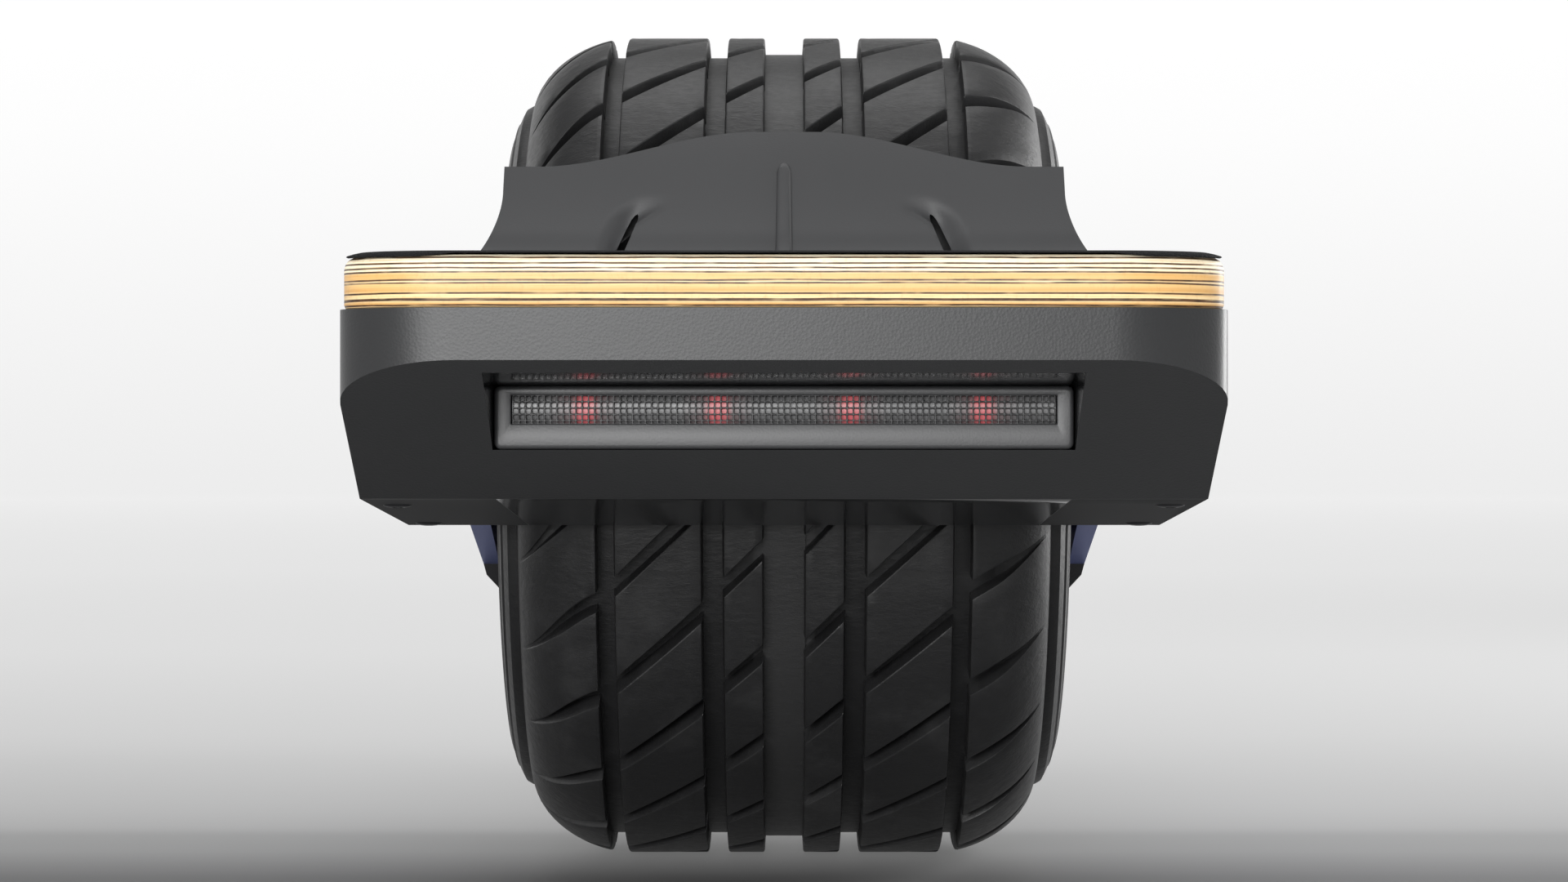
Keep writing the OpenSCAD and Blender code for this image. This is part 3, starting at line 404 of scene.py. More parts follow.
FINISHES = {
    "tyre_rubber": tyre_rubber(),
    "seal_rubber": seal_rubber(),
    "cable_jacket": moulded("cable_jacket", (0.014, 0.014, 0.015), 0.5, 900),
    "bumper_plastic": bumper_plastic(),
    "fender_plastic": moulded("fender_plastic", (0.038, 0.0385, 0.040), 0.52, 1500, 0.05, 0.10),
    "guard_plastic": moulded("guard_plastic", (0.018, 0.018, 0.020), 0.5, 1000, 0.07),
    "panel_plastic": moulded("panel_plastic", (0.032, 0.0325, 0.034), 0.40, 1700, 0.03, 0.1),
    "box_plastic": moulded("box_plastic", (0.030, 0.032, 0.035), 0.48, 900, 0.08),
    "sensor_film": moulded("sensor_film", (0.50, 0.30, 0.07), 0.3, 500, 0.02),
    "capacitor_sleeve": moulded("capacitor_sleeve", (0.03, 0.06, 0.20), 0.3, 300, 0.02),
    "cell_sleeve": moulded("cell_sleeve", (0.06, 0.25, 0.10), 0.32, 300, 0.02),
    "blue_anodised": anodised("blue_anodised", (0.12, 0.158, 0.43), 0.36, 0.75),
    "black_aluminium": anodised("black_aluminium", (0.045, 0.047, 0.052), 0.4),
    "bare_aluminium": turned_metal("bare_aluminium", (0.60, 0.61, 0.63), 0.32),
    "brass_part": turned_metal("brass_part", (0.72, 0.52, 0.22), 0.28),
    "plain_steel": turned_metal("plain_steel", (0.46, 0.47, 0.49), 0.3),
    "plated_steel": turned_metal("plated_steel", (0.68, 0.69, 0.71), 0.2),
    "lamination_steel": turned_metal("lamination_steel", (0.25, 0.26, 0.28), 0.42),
    "black_steel": turned_metal("black_steel", (0.030, 0.030, 0.033), 0.38, 0.6),
    "button_metal": turned_metal("button_metal", (0.55, 0.56, 0.58), 0.26),
    "cast_black": cast_paint(),
    "birch_plywood": plywood(),
    "grip_sheet": grip_sheet(),
    "circuit_board": circuit_board(),
    "copper_winding": wound_copper(),
    "mesh_metal": moulded("mesh_metal", (0.005, 0.005, 0.0055), 0.45, 2000, 0.01),
    "lamp_glow": lamp_glow(),
}


# ---------------------------------------------------------------- making pieces

def sharpen(mesh, degrees):
    """Smooth shading, apart from edges that turn more than the given angle."""
    work = bmesh.new()
    work.from_mesh(mesh)
    limit = math.radians(degrees)
    for face in work.faces:
        face.smooth = True
    for edge in work.edges:
        edge.smooth = len(edge.link_faces) == 2 and edge.calc_face_angle(0) < limit
    work.to_mesh(mesh)
    work.free()


def piece(name, points, faces, body, slot, stands_for=(), angle=32, finish=None):
    """A mesh in the row frame, riding on a body and painted with a slot's finish."""
    mesh = bpy.data.meshes.new(name)
    mesh.from_pydata([tuple(p) for p in points], [], faces)
    work = bmesh.new()
    work.from_mesh(mesh)
    bmesh.ops.remove_doubles(work, verts=work.verts, dist=1e-6)
    bmesh.ops.recalc_face_normals(work, faces=work.faces)
    work.to_mesh(mesh)
    work.free()
    sharpen(mesh, angle)
    made = bpy.data.objects.new(name, mesh)
    SCENE.collection.objects.link(made)
    mesh.materials.append(FINISHES[finish or slot])
    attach(made, body)
    if stands_for:
        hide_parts(*stands_for)
    return made


def bevelled(made, width, segments=2, angle=30):
    """Rounds the edges of a piece."""
    rounding = made.modifiers.new("rounding", "BEVEL")
    rounding.width, rounding.segments = width, segments
    rounding.limit_method, rounding.angle_limit = "ANGLE", math.radians(angle)
    rounding.harden_normals = True
    return made


def quads(rows, columns, loop_rows=False, loop_columns=False):
    """Faces of a grid of points stored row by row."""
    faces = []
    for i in range(rows if loop_rows else rows - 1):
        for j in range(columns if loop_columns else columns - 1):
            a, b = i * columns, (i + 1) % rows * columns
            k = (j + 1) % columns
            faces.append((a + j, a + k, b + k, b + j))
    return faces


def turned(point, end):
    """A point drawn at the tail, +Y, moved to the named end."""
    x, y, z = point
    return (x, -y, z) if end == "front" else (x, y, z)


# ---------------------------------------------------------------- tyre

PITCHES = 25
PITCH = 2 * math.pi / PITCHES
MIDDLE_IN, MIDDLE_X = 6.4 * MM, 20 * MM        # inner and outer edge of each row of blocks
CROWN_IN, CROWN_X = 26.3 * MM, 55.3 * MM
SHOULDER_IN, SHOULDER_X = 60.5 * MM, 87.9 * MM
SHOULDER_H = 23.7 * MM
TREAD_DEPTH = 7.0 * MM
SLOT_W = 6.6 * MM                              # lateral groove, along the circumference


def crown_r(x):
    """Radius of the tread surface at x."""
    reach = max(0.0, (abs(x) - CROWN_X) / (SHOULDER_X - CROWN_X))
    return TYRE_R - SHOULDER_H * (1 - (1 - min(reach, 1.0) ** 1.75) ** (1 / 1.75))


def on_wheel(x, radius, below):
    """Point at an angle below the horizontal, measured at the nose side."""
    return (x, -radius * math.cos(below), AXLE - radius * math.sin(below))


def smooth(t):
    t = min(max(t, 0.0), 1.0)
    return t * t * (3 - 2 * t)


def tread_row(x0, x1, phase, depth=TREAD_DEPTH, outer=0, columns=5):
    """One ring of tread blocks between two circumferential grooves.

    phase(t) is the angle below the horizontal of a lateral groove's middle, t going from
    0 at x0 to 1 at x1. outer is the side on which the row runs out into the sidewall.
    """
    draft, round_off = 0.45 * MM, 0.7 * MM
    sink = 0.6 * MM
    across = [(x0, 0.0), (x0 + draft, 1 - round_off / depth)]
    steps = [(0.3, 0.3), (1.0, 0.0)]
    across += [(x0 + draft + round_off * a, 1 - round_off * b / depth) for a, b in steps]
    inner = [x0 + (x1 - x0) * (k + 1) / (columns + 1) for k in range(columns)]
    across += [(x, 1.0) for x in inner]
    across += [(x1 - draft - round_off * a, 1 - round_off * b / depth) for a, b in steps[::-1]]
    across += [(x1 - draft, 1 - round_off / depth), (x1, 0.0)]
    across.sort()
    if outer:
        across = [(x, 1.0 if (x - (x0 + x1) / 2) * outer > 0 else h) for x, h in across]
    half = SLOT_W / 2
    arc = TYRE_R * PITCH
    along = [(0.0, 0.0), (half - draft, 0.0), (half, 1 - round_off / depth),
             (half + round_off * 0.3, 1 - round_off * 0.3 / depth), (half + round_off, 1.0)]
    plain = 5
    start, stop = half + round_off, arc - half - round_off
    along += [(start + (stop - start) * (k + 1) / (plain + 1), 1.0) for k in range(plain)]
    along += [(arc - s, h) for s, h in along[4:0:-1]]
    points = []
    lines = 0
    for turn in range(PITCHES):
        for shift, h_along in along:
            lines += 1
            for x, h_across in across:
                t = (x - x0) / (x1 - x0)
                fade = 1.0
                if outer:
                    out = t if outer > 0 else 1 - t
                    fade = 1 - smooth((out - 0.30) / 0.66)
                middle = phase(t)
                width = shift
                if shift < half + round_off * 1.01:
                    width = shift * (0.25 + 0.75 * fade)
                elif shift > arc - half - round_off * 1.01:
                    width = arc - (arc - shift) * (0.25 + 0.75 * fade)
                height = min(h_across, 1 - (1 - h_along) * fade)
                radius = crown_r(x) - depth * (1 - height)
                points.append(on_wheel(x, radius, middle + turn * PITCH + width / TYRE_R))
            for x, _ in (across[-1], across[0]):
                radius = min(crown_r(x) - depth, TYRE_R - TREAD_DEPTH) - sink
                t = (x - x0) / (x1 - x0)
                points.append(on_wheel(x, radius, phase(t) + turn * PITCH + shift / TYRE_R))
    return points, quads(lines, len(across) + 2, loop_rows=True, loop_columns=True)


def straight(start, end):
    """Lateral groove whose middle goes from one angle to another, in degrees."""
    return lambda t: math.radians(start + (end - start) * t)


def left_shoulder(t):
    return math.radians(20.6 + 11.9 * (1 - t) ** 1.35)


def right_shoulder(t):
    return math.radians(19.0 - 6.6 * t ** 0.85 + 3.0 * t * (1 - t))


def tyre_carcass():
    """The shell under the blocks, turned about the axle, with ribs on its sidewalls."""
    floor = TYRE_R - TREAD_DEPTH
    half = [(0, TYRE_R - 5.8 * MM), (6.9 * MM, TYRE_R - 5.8 * MM), (6.9 * MM, floor), (61.5 * MM, floor)]
    half += [(a * MM, b * MM) for a, b in (
        (68, 136.5), (76, 130.5), (82, 123), (86.6, 122.1), (89.4, 121.9), (91.2, 120.9),
        (92.2, 119.0), (93.0, 117.2), (92.9, 116.6), (93.9, 115.8), (94.4, 113.6), (94.3, 113.0),
        (95.2, 111.6), (95.5, 108), (95.3, 103.5), (94.9, 102.8), (94.9, 101.6), (94.2, 100.0),
        (92.6, 96.2), (90.0, 92.6), (86.4, 89.6), (81.5, 87.2), (76.0, 85.8), (70.4, 84.5),
        (66.1, 83.8), (66.1, 76.2), (54.3, 76.2), (56, 86), (84, 97), (86.5, 107), (76, 124),
        (55, 132), (0, 133))]
    profile = half + [(-x, r) for x, r in half[-2:0:-1]]
    around = 250
    points = [on_wheel(x, r, 2 * math.pi * k / around) for k in range(around) for x, r in profile]
    return points, quads(around, len(profile), loop_rows=True, loop_columns=True)


def make_tyre():
    rows = [tyre_carcass(),
            tread_row(-SHOULDER_X, -SHOULDER_IN, left_shoulder, outer=-1, columns=12),
            tread_row(-CROWN_X, -CROWN_IN, straight(18.5, 7.3)),
            tread_row(-MIDDLE_X, -MIDDLE_IN, straight(18.6, 13.2), columns=3),
            tread_row(MIDDLE_IN, MIDDLE_X, straight(12.9, 7.1), columns=3),
            tread_row(CROWN_IN, CROWN_X, straight(18.5, 7.7)),
            tread_row(SHOULDER_IN, SHOULDER_X, right_shoulder, outer=1, columns=12)]
    points, faces = [], []
    for row_points, row_faces in rows:
        faces += [tuple(i + len(points) for i in face) for face in row_faces]
        points += row_points
    piece("tyre_tread", points, faces, "wheel", "tyre_rubber", ["tyre"], angle=28)


make_tyre()


def cut_out(made, cutter, angle):
    """Cuts one piece out of another for good, and shades what is left afresh."""
    cut = made.modifiers.new("cut", "BOOLEAN")
    cut.operation, cut.solver, cut.object = "DIFFERENCE", "EXACT", cutter
    SCENE.collection.objects.link(cutter)
    shaped = made.evaluated_get(bpy.context.evaluated_depsgraph_get())
    mesh = bpy.data.meshes.new_from_object(shaped)
    made.modifiers.clear()
    made.data = mesh
    bpy.data.objects.remove(cutter)
    sharpen(mesh, angle)


def prism(outline, low, high, place):
    """A closed bar of an outline; place turns (a, b, along) into a point."""
    n = len(outline)
    points = [place(a, b, low) for a, b in outline] + [place(a, b, high) for a, b in outline]
    faces = [tuple(range(n)), tuple(range(2 * n - 1, n - 1, -1))]
    faces += [(i, (i + 1) % n, n + (i + 1) % n, n + i) for i in range(n)]
    mesh = bpy.data.meshes.new("bar")
    mesh.from_pydata([tuple(p) for p in points], [], faces)
    work = bmesh.new()
    work.from_mesh(mesh)
    bmesh.ops.recalc_face_normals(work, faces=work.faces)
    work.to_mesh(mesh)
    work.free()
    return bpy.data.objects.new("bar", mesh)


def upright(a, b, along):
    """Place for a bar whose outline is drawn in plan."""
    return (a, b, along)


def circle(x, y, r, count=24):
    return [(x + r * math.cos(2 * math.pi * k / count), y + r * math.sin(2 * math.pi * k / count))
            for k in range(count)]


def joined(*bars):
    """Several bars as one object."""
    work = bmesh.new()
    for bar in bars:
        work.from_mesh(bar.data)
    mesh = bpy.data.meshes.new("bars")
    work.to_mesh(mesh)
    work.free()
    return bpy.data.objects.new("bars", mesh)


def softened(node, width, segments=2, angle=30):
    """A copy of a CAD node with its edges rounded, which stands for it."""
    source = frame["nodes"][node]
    work = bmesh.new()
    work.from_mesh(source.data)
    bmesh.ops.remove_doubles(work, verts=work.verts, dist=2e-6)
    bmesh.ops.dissolve_limit(work, angle_limit=math.radians(0.8), verts=work.verts, edges=work.edges)
    mesh = bpy.data.meshes.new(node + "_soft")
    work.to_mesh(mesh)
    work.free()
    sharpen(mesh, 32)
    made = bpy.data.objects.new(node + "_soft", mesh)
    SCENE.collection.objects.link(made)
    mesh.materials.append(FINISHES[SLOTS[node]])
    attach(made, source["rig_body"])
    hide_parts(node)
    bevelled(made, width, segments, angle)


# ---------------------------------------------------------------- wheel surround

SURROUND_R = 154 * MM
SURROUND_IN_R = 151 * MM
FOOT_Z = 53.5 * MM
FOOT_D = 176 * MM
ARC_START = math.radians(27)
FOOT_X = 104.7 * MM
LIP_X = 91.6 * MM
FLARE_Z = 81.9 * MM
STRIP_D = 157.7 * MM                           # half the length of a strip along a rail
STRIP_LOW, STRIP_TOP = 36 * MM, 51 * MM        # its underside and top, above the axle
STRIP_IN, STRIP_OUT = 98.5 * MM, 116.5 * MM
VENT_BEND_X, VENT_BEND_Z = 46.8 * MM, 75.1 * MM    # where the inner edge of a vent slot bends
VENT_TOP = 81.8 * MM                           # top of the hollow beside a vent slot
VENT_ROUND_Z = 60 * MM                         # above this the hollow's outer edge is round
VENT_PRESS = 3.6 * MM                          # depth of the hollow
# height above the axle and distance from the slot's inner edge, in mm, of points round a vent slot
VENT_OUTLINE = ((40, 0), (60, 0), (70, 0), (73.6, 0.1), (74.8, 0.5), (75.3, 1.0), (74.9, 1.6),
                (73.5, 2.2), (70, 2.6), (60, 3.1), (40, 3.1))
RIB_LOW, RIB_TOP = 52, 92.7                    # ends of a rib, in mm above the axle
# the rib from side to side: share of its half width, and share of its rise, or mm below the skin
RIB_SECTION = ((-1.25, -0.6), (-1.12, 0.1), (-1.02, 0.62), (-0.86, 0.88), (-0.5, 1.0), (0, 1.03),
               (0.5, 1.0), (0.86, 0.88), (1.02, 0.62), (1.12, 0.1), (1.25, -0.6))
SCREW_DS = (-88, 0, 88)                        # wheel surround screws, in mm along a rail
SCREW_X = 107.5 * MM


def lip_height(x):
    return (91.4 + 12.2 * smooth((80 - abs(x) / MM) / 70)) * MM


def side_reach(z):
    """Half width of the surround at a height above the axle."""
    if z >= FLARE_Z:
        return LIP_X
    rise = min(1.0, (FLARE_Z - z) / (FLARE_Z - FOOT_Z))
    return LIP_X + (FOOT_X - LIP_X) * rise ** 1.8


def surround_profile(z):
    """Distance from the axle of the outer skin at a height above it."""
    tip = (SURROUND_R * math.cos(ARC_START), SURROUND_R * math.sin(ARC_START))
    if z >= tip[1]:
        return math.sqrt(SURROUND_R ** 2 - z ** 2)
    control = tip[0] + (tip[1] - FOOT_Z) * math.tan(ARC_START)
    t = math.sqrt(max(0.0, z - FOOT_Z) / (tip[1] - FOOT_Z))
    return (1 - t) ** 2 * FOOT_D + 2 * t * (1 - t) * control + t * t * tip[0]


def vent_edge(z):
    """Inner edge of a vent slot, as a distance from the middle."""
    if z > VENT_BEND_Z:
        return VENT_BEND_X - (z - VENT_BEND_Z) * 0.74
    return VENT_BEND_X + (VENT_BEND_Z - z) * 0.39


def vent_hollow(x, z):
    """How far the skin is pressed in beside a vent slot."""
    x = abs(x)
    if z > VENT_TOP or x < 30 * MM:
        return 0.0
    edge = vent_edge(z)
    reach = 61.5 * MM
    if z > VENT_ROUND_Z:
        rise = (z - VENT_ROUND_Z) / (21.9 * MM)
        reach = 42 * MM + 19.5 * MM * math.sqrt(max(0.0, 1 - rise ** 2))
    soft = smooth((z / MM - 71) / 7)
    start = edge - 8 * MM * soft
    full = edge + 3.0 * MM
    if x < full:
        inner = smooth((x - start) / (full - start))
    else:
        inner = 1 - smooth((x - full) / max(reach - full, 0.5 * MM))
    return VENT_PRESS * inner * smooth((VENT_TOP - z) / (9 * MM))


def surround_loop(u, steps=44):
    """The closed section of the surround at a share u of its width: outer points, then inner."""
    lip = lip_height(u * LIP_X)
    heights = [FOOT_Z + (lip - FOOT_Z) * (k / steps) for k in range(steps + 1)]
    outer = [(STRIP_D, STRIP_LOW), (STRIP_D, STRIP_TOP), (175.6 * MM, STRIP_TOP), (FOOT_D, 51.5 * MM)]
    skin = len(outer)
    outer += [(surround_profile(z), z) for z in heights]
    points = []
    for k, (d, z) in enumerate(outer):
        x = u * side_reach(z)
        if k >= skin:
            tilt = math.atan2(z, d)
            press = vent_hollow(x, z)
            d, z = d - press * math.cos(tilt), z - press * math.sin(tilt)
        points.append((x, d, AXLE + z))
    inner = []
    for _, z in outer:
        z_in = z - z * 3 / 154 * smooth((z / MM - 53.5) / 16)
        x = u * side_reach(z)
        press = vent_hollow(x, z)
        inner.append((x, math.sqrt((SURROUND_IN_R - press) ** 2 - z_in ** 2), AXLE + z_in))
    return points + inner[::-1], len(outer)


def make_shield(end):
    columns = 150
    loops = [surround_loop(-1 + 2 * k / columns) for k in range(columns + 1)]
    n = len(loops[0][0])
    points = [turned(p, end) for loop, _ in loops for p in loop]
    faces = quads(columns + 1, n, loop_columns=True)
    half = loops[0][1]
    for base in (0, columns * n):
        faces += [(base + k, base + k + 1, base + n - 2 - k, base + n - 1 - k) for k in range(half - 1)]
    shield = piece(end + "_shield", points, faces, "frame", "fender_plastic", angle=40)
    bars = []
    for m in (-1, 1):
        outline = [(vent_edge(z * MM) / MM + w, z) for z, w in VENT_OUTLINE]
        outline = [(m * x * MM, AXLE + max(z, 56) * MM) for x, z in outline]
        bars.append(prism(outline, 0.125, 0.175, lambda a, b, c: turned((a, c, b), end)))
    cut_out(shield, joined(*bars), 40)
    return bevelled(shield, 0.7 * MM, 3, 50)


def make_rib(end):
    """The raised rib down the middle of a shield."""
    points = []
    steps, n = 40, len(RIB_SECTION)
    for k in range(steps + 1):
        z = (RIB_LOW + (RIB_TOP - RIB_LOW) * k / steps) * MM
        left = (RIB_TOP * MM - z) / MM
        width = (2.0 + 0.6 * (1 - k / steps)) * MM * min(1.0, math.sqrt(max(0.02, left / 3.0)))
        rise = 1.5 * MM * min(1.0, math.sqrt(max(0.0, left / 2.5))) + 0.05 * MM
        d = surround_profile(z)
        tilt = math.atan2(z, d)
        for a, h in RIB_SECTION:
            out = rise * h if h > 0 else h * MM
            points.append(turned((a * width, d + out * math.cos(tilt),
                                  AXLE + z + out * math.sin(tilt)), end))
    faces = quads(steps + 1, n, loop_columns=True)
    faces += [tuple(range(n)), tuple(range(steps * n, steps * n + n))]
    piece(end + "_rib", points, faces, "frame", "fender_plastic", angle=50)


def make_side_strip(side, m):
    """The strip that carries the surround along one rail."""
    dip_d, dip_z = 136 * MM, 48 * MM           # the top falls from its ends to this height
    outline = [(-STRIP_D, STRIP_LOW), (STRIP_D, STRIP_LOW), (STRIP_D, STRIP_TOP), (dip_d, dip_z),
               (-dip_d, dip_z), (-STRIP_D, STRIP_TOP)]
    bar = prism([(d, AXLE + z) for d, z in outline], STRIP_IN, STRIP_OUT,
                lambda a, b, c: (m * c, a, b))
    points = [v.co.copy() for v in bar.data.vertices]
    faces = [tuple(p.vertices) for p in bar.data.polygons]
    strip = piece(side + "_strip", points, faces, "frame", "fender_plastic")
    cuts = [prism([(m * x, y) for x, y in circle(SCREW_X, d * MM, 4.4 * MM)], AXLE + 40 * MM,
                  AXLE + 60 * MM, upright) for d in SCREW_DS]
    cut_out(strip, joined(*cuts), 32)
    bevelled(strip, 1.0 * MM, 3, 40)


def make_surround():
    shields = [make_shield(end) for end in ENDS]
    for end in ENDS:
        make_rib(end)
    make_side_strip("left", -1)
    make_side_strip("right", 1)
    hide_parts("fender")


make_surround()


# ---------------------------------------------------------------- foot boards

BOARD_X = DECK[1].x
BOARD_OUT = -DECK[0].y
BOARD_IN = -DECK[1].y
BOARD_R = 31 * MM
BOARD_D = 20 * MM
WOOD_TOP = DECK[1].z
WOOD_LOW = DECK[0].z


def board_edge(inset, corner_r=BOARD_R, corner_d=BOARD_D, in_r=6 * MM):
    """Plan outline of a foot board drawn at the tail, moved in by inset; each point with its
    share of a nose corner."""
    points = []
    for m in (1, -1):
        arc = [(BOARD_X - in_r, BOARD_IN + in_r, in_r, in_r, -90, 0, 6),
               (BOARD_X - corner_r, BOARD_OUT - corner_d, corner_r, corner_d, 0, 90, 24)]
        if m < 0:
            arc = arc[::-1]
        for cx, cy, rx, ry, a0, a1, n in arc:
            span = range(n + 1) if m > 0 else range(n, -1, -1)
            for k in span:
                a = math.radians(a0 + (a1 - a0) * k / n)
                corner = math.sin(math.pi * k / n) if rx > 10 * MM else 0.0
                points.append((m * (cx + max(rx - inset, 0.2 * MM) * math.cos(a)),
                               cy + max(ry - inset, 0.2 * MM) * math.sin(a), corner))
        if m > 0:
            points += [(BOARD_X * f, BOARD_OUT - inset, 0.0) for f in (0.6, 0.4, 0.2, 0.0, -0.2, -0.4, -0.6)]
    return points


def stacked(levels, end):
    """Points and faces of rings laid one above the other, closed at both ends."""
    n = len(levels[0])
    points = [turned(p, end) for level in levels for p in level]
    faces = quads(len(levels), n, loop_columns=True)
    faces += [tuple(range(n)), tuple(range((len(levels) - 1) * n, len(levels) * n))]
    return points, faces


# inset and height of each level of a board's rounded edge, in mm
BOARD_EDGE = ((1.2, 0), (0.35, 0.35), (0, 1.2), (0, 10.4), (0.35, 11.9), (1.2, 13.0), (2.6, 13.75),
              (4.0, 14))
# inset and height above the wood of the grip sheet, from its top face round the edge to its underside
SHEET_EDGE = ((4.2, 1.0), (2.4, 0.62), (1.0, 0.15), (0.2, -0.20), (-0.10, -0.6), (0.1, -0.7),
              (0.35, -0.4), (1.3, 0.05), (2.8, 0.30), (5, 0.0))
DECK_SCREWS = [(x, d) for x in (-0.106, 0.106) for d in (0.188, 0.318)]


def screw_cuts(end, r, low):
    """Bars that cut the recesses for the deck screws, from a depth below the top of the wood."""
    return joined(*[prism(circle(x, d if end == "rear" else -d, r), WOOD_TOP - low, WOOD_TOP + 9 * MM,
                          upright) for x, d in DECK_SCREWS])


def make_board(end):
    levels = []
    for inset, z in BOARD_EDGE:
        levels.append([(x, d, WOOD_LOW + z * MM) for x, d, _ in board_edge(inset * MM)])
    made = piece(end + "_board", *stacked(levels, end), "frame", "birch_plywood", [end + "_deck"], 40)
    cut_out(made, screw_cuts(end, 5.3 * MM, 2.6 * MM), 40)


def make_grip_sheet(end):
    """The sheet follows the rounded edge of the board, and reaches further down at the nose corners."""
    levels = []
    for step, (inset, drop) in enumerate(SHEET_EDGE):
        level = []
        for (x, d, corner), (x1, d1, _) in zip(board_edge(inset * MM), board_edge(2.2 * MM)):
            hold = 0.16 + 0.84 * min(1.0, corner * 1.6)
            if 2 <= step <= 7:
                x, d = x1 + (x - x1) * (0.45 + 0.55 * hold), d1 + (d - d1) * (0.45 + 0.55 * hold)
            z = drop if drop > 0.5 else 0.45 + (drop - 0.45) * hold
            level.append((x, d, WOOD_TOP + z * MM))
        levels.append(level)
    made = piece(end + "_grit", *stacked(levels, end), "frame", "grip_sheet", [end + "_grip"], 50)
    cut_out(made, screw_cuts(end, 5.6 * MM, 3 * MM), 40)


for end in ENDS:
    make_board(end)
    make_grip_sheet(end)


# ---------------------------------------------------------------- light windows

def make_window(end):
    """A thin plate with rows of rounded square holes."""
    pitch = 1.7 * MM
    x1 = MESH[1].x
    z0, z1 = MESH[0].z, MESH[1].z
    columns, rows = int(2 * x1 / pitch), int((z1 - z0) / pitch) + 1
    left = -columns * pitch / 2
    hole, n = 0.80 * pitch / 2, 12
    faces, points = [], []
    front, back = -MESH[0].y, -MESH[1].y
    jitter = random.Random(11)

    def add(x, z, d):
        points.append(turned((x, d, z), end))
        return len(points) - 1

    for i in range(columns):
        for j in range(rows):
            cx, cz = left + (i + 0.5) * pitch, z1 - (j + 0.5) * pitch
            low, high = max(cz - pitch / 2, z0), cz + pitch / 2
            if high - low < 0.3 * pitch:
                continue
            sx, sz = (1 + jitter.uniform(-0.05, 0.03) for _ in range(2))
            ox, oz = (jitter.uniform(-0.03, 0.03) * pitch for _ in range(2))
            half_z = min(hole * sz, (high - low) / 2 * 0.80)
            mid = (low + high) / 2
            rim_points = []
            for k in range(n):
                a = math.radians(45 + 360 * (k - 1) / n)
                qx = math.copysign(abs(math.cos(a)) ** 0.45, math.cos(a)) * hole * sx
                qz = math.copysign(abs(math.sin(a)) ** 0.45, math.sin(a)) * half_z
                rim_points.append((cx + ox + qx, mid + oz * 0.6 + qz, a))
            square = []
            for _, _, a in rim_points:
                across, up = math.cos(a), math.sin(a)
                k = 1 / max(abs(across), abs(up))
                square.append((cx + across * k * pitch / 2, mid + up * k * (high - low) / 2))
            loops = []
            for d, inset in ((front, 0.0), (front - 0.12 * MM, 1.0), (back, 1.0)):
                ring = []
                for (x, z, a), (qx, qz) in zip(rim_points, square):
                    if inset == 0.0:
                        x, z = x + (qx - x) * 0.30, z + (qz - z) * 0.30
                    ring.append(add(x, z, d))
                loops.append(ring)
            outer = [add(x, z, front) for x, z in square]
            for k in range(n):
                k1 = (k + 1) % n
                faces.append((outer[k], outer[k1], loops[0][k1], loops[0][k]))
                faces.append((loops[0][k], loops[0][k1], loops[1][k1], loops[1][k]))
                faces.append((loops[1][k], loops[1][k1], loops[2][k1], loops[2][k]))
    piece(end + "_window", points, faces, "frame", "mesh_metal", [end + "_light_mesh"], 60)


def rounded_box(x, z0, z1, r, d, end, n=6):
    """A loop round a rectangle from -x to x and z0 to z1, at a distance d from the axle."""
    centres = ((x - r, z1 - r, 0), (-x + r, z1 - r, 90), (-x + r, z0 + r, 180), (x - r, z0 + r, 270))
    points = []
    for cx, cz, start in centres:
        for k in range(n + 1):
            a = math.radians(start + 90 * k / n)
            points.append(turned((cx + r * math.cos(a), d, cz + r * math.sin(a)), end))
    return points


# inset from the outline and depth below the face of each loop of a light panel, in mm
PANEL_EDGE = ((0.0, 3.0), (0.0, 1.5), (0.06, 0.95), (0.22, 0.52), (0.5, 0.22), (0.85, 0.06), (1.3, 0.0))
WINDOW_EDGE = ((0.35, 0.0), (0.10, 0.12), (0.02, 0.4), (0.02, 3.0))


def make_panel(end):
    """The light panel: a plate with well rounded edges, standing free in its pocket."""
    x, z0, z1 = PANEL[1].x - 0.35 * MM, PANEL[0].z + 0.1 * MM, PANEL[1].z - 0.1 * MM
    loops = []
    for inset, back in PANEL_EDGE:
        i = inset * MM
        loops.append(rounded_box(x - i, z0 + i, z1 - i, 1.9 * MM - i * 0.6, PANEL_D - back * MM, end))
    for grow, back in WINDOW_EDGE:
        g = grow * MM
        loops.append(rounded_box(MESH[1].x + g, MESH[0].z - g, MESH[1].z + g, 0.3 * MM,
                                 PANEL_D - back * MM, end))
    points = [q for loop in loops for q in loop]
    faces = quads(len(loops), len(loops[0]), loop_rows=True, loop_columns=True)
    piece(end + "_panel", points, faces, "frame", "panel_plastic", [end + "_light_panel"], 50)


def make_diffuser(end):
    """The frosted strip just behind the window."""
    x1, z0, z1 = MESH[1].x - 0.2 * MM, MESH[0].z + 0.1 * MM, MESH[1].z - 0.1 * MM
    d = -MESH[1].y - 1.1 * MM
    columns, rows = 120, 8
    points = []
    for i in range(columns + 1):
        for j in range(rows + 1):
            x = -x1 + 2 * x1 * i / columns
            z = z0 + (z1 - z0) * j / rows
            swell = 0.5 * MM * (1 - (2 * j / rows - 1) ** 2)
            points.append(turned((x, d + swell, z), end))
    piece(end + "_diffuser", points, quads(columns + 1, rows + 1), "frame", "panel_plastic", angle=60,
          finish="lamp_glow")


for end in ENDS:
    make_window(end)
    make_diffuser(end)


# ---------------------------------------------------------------- moulded and machined parts

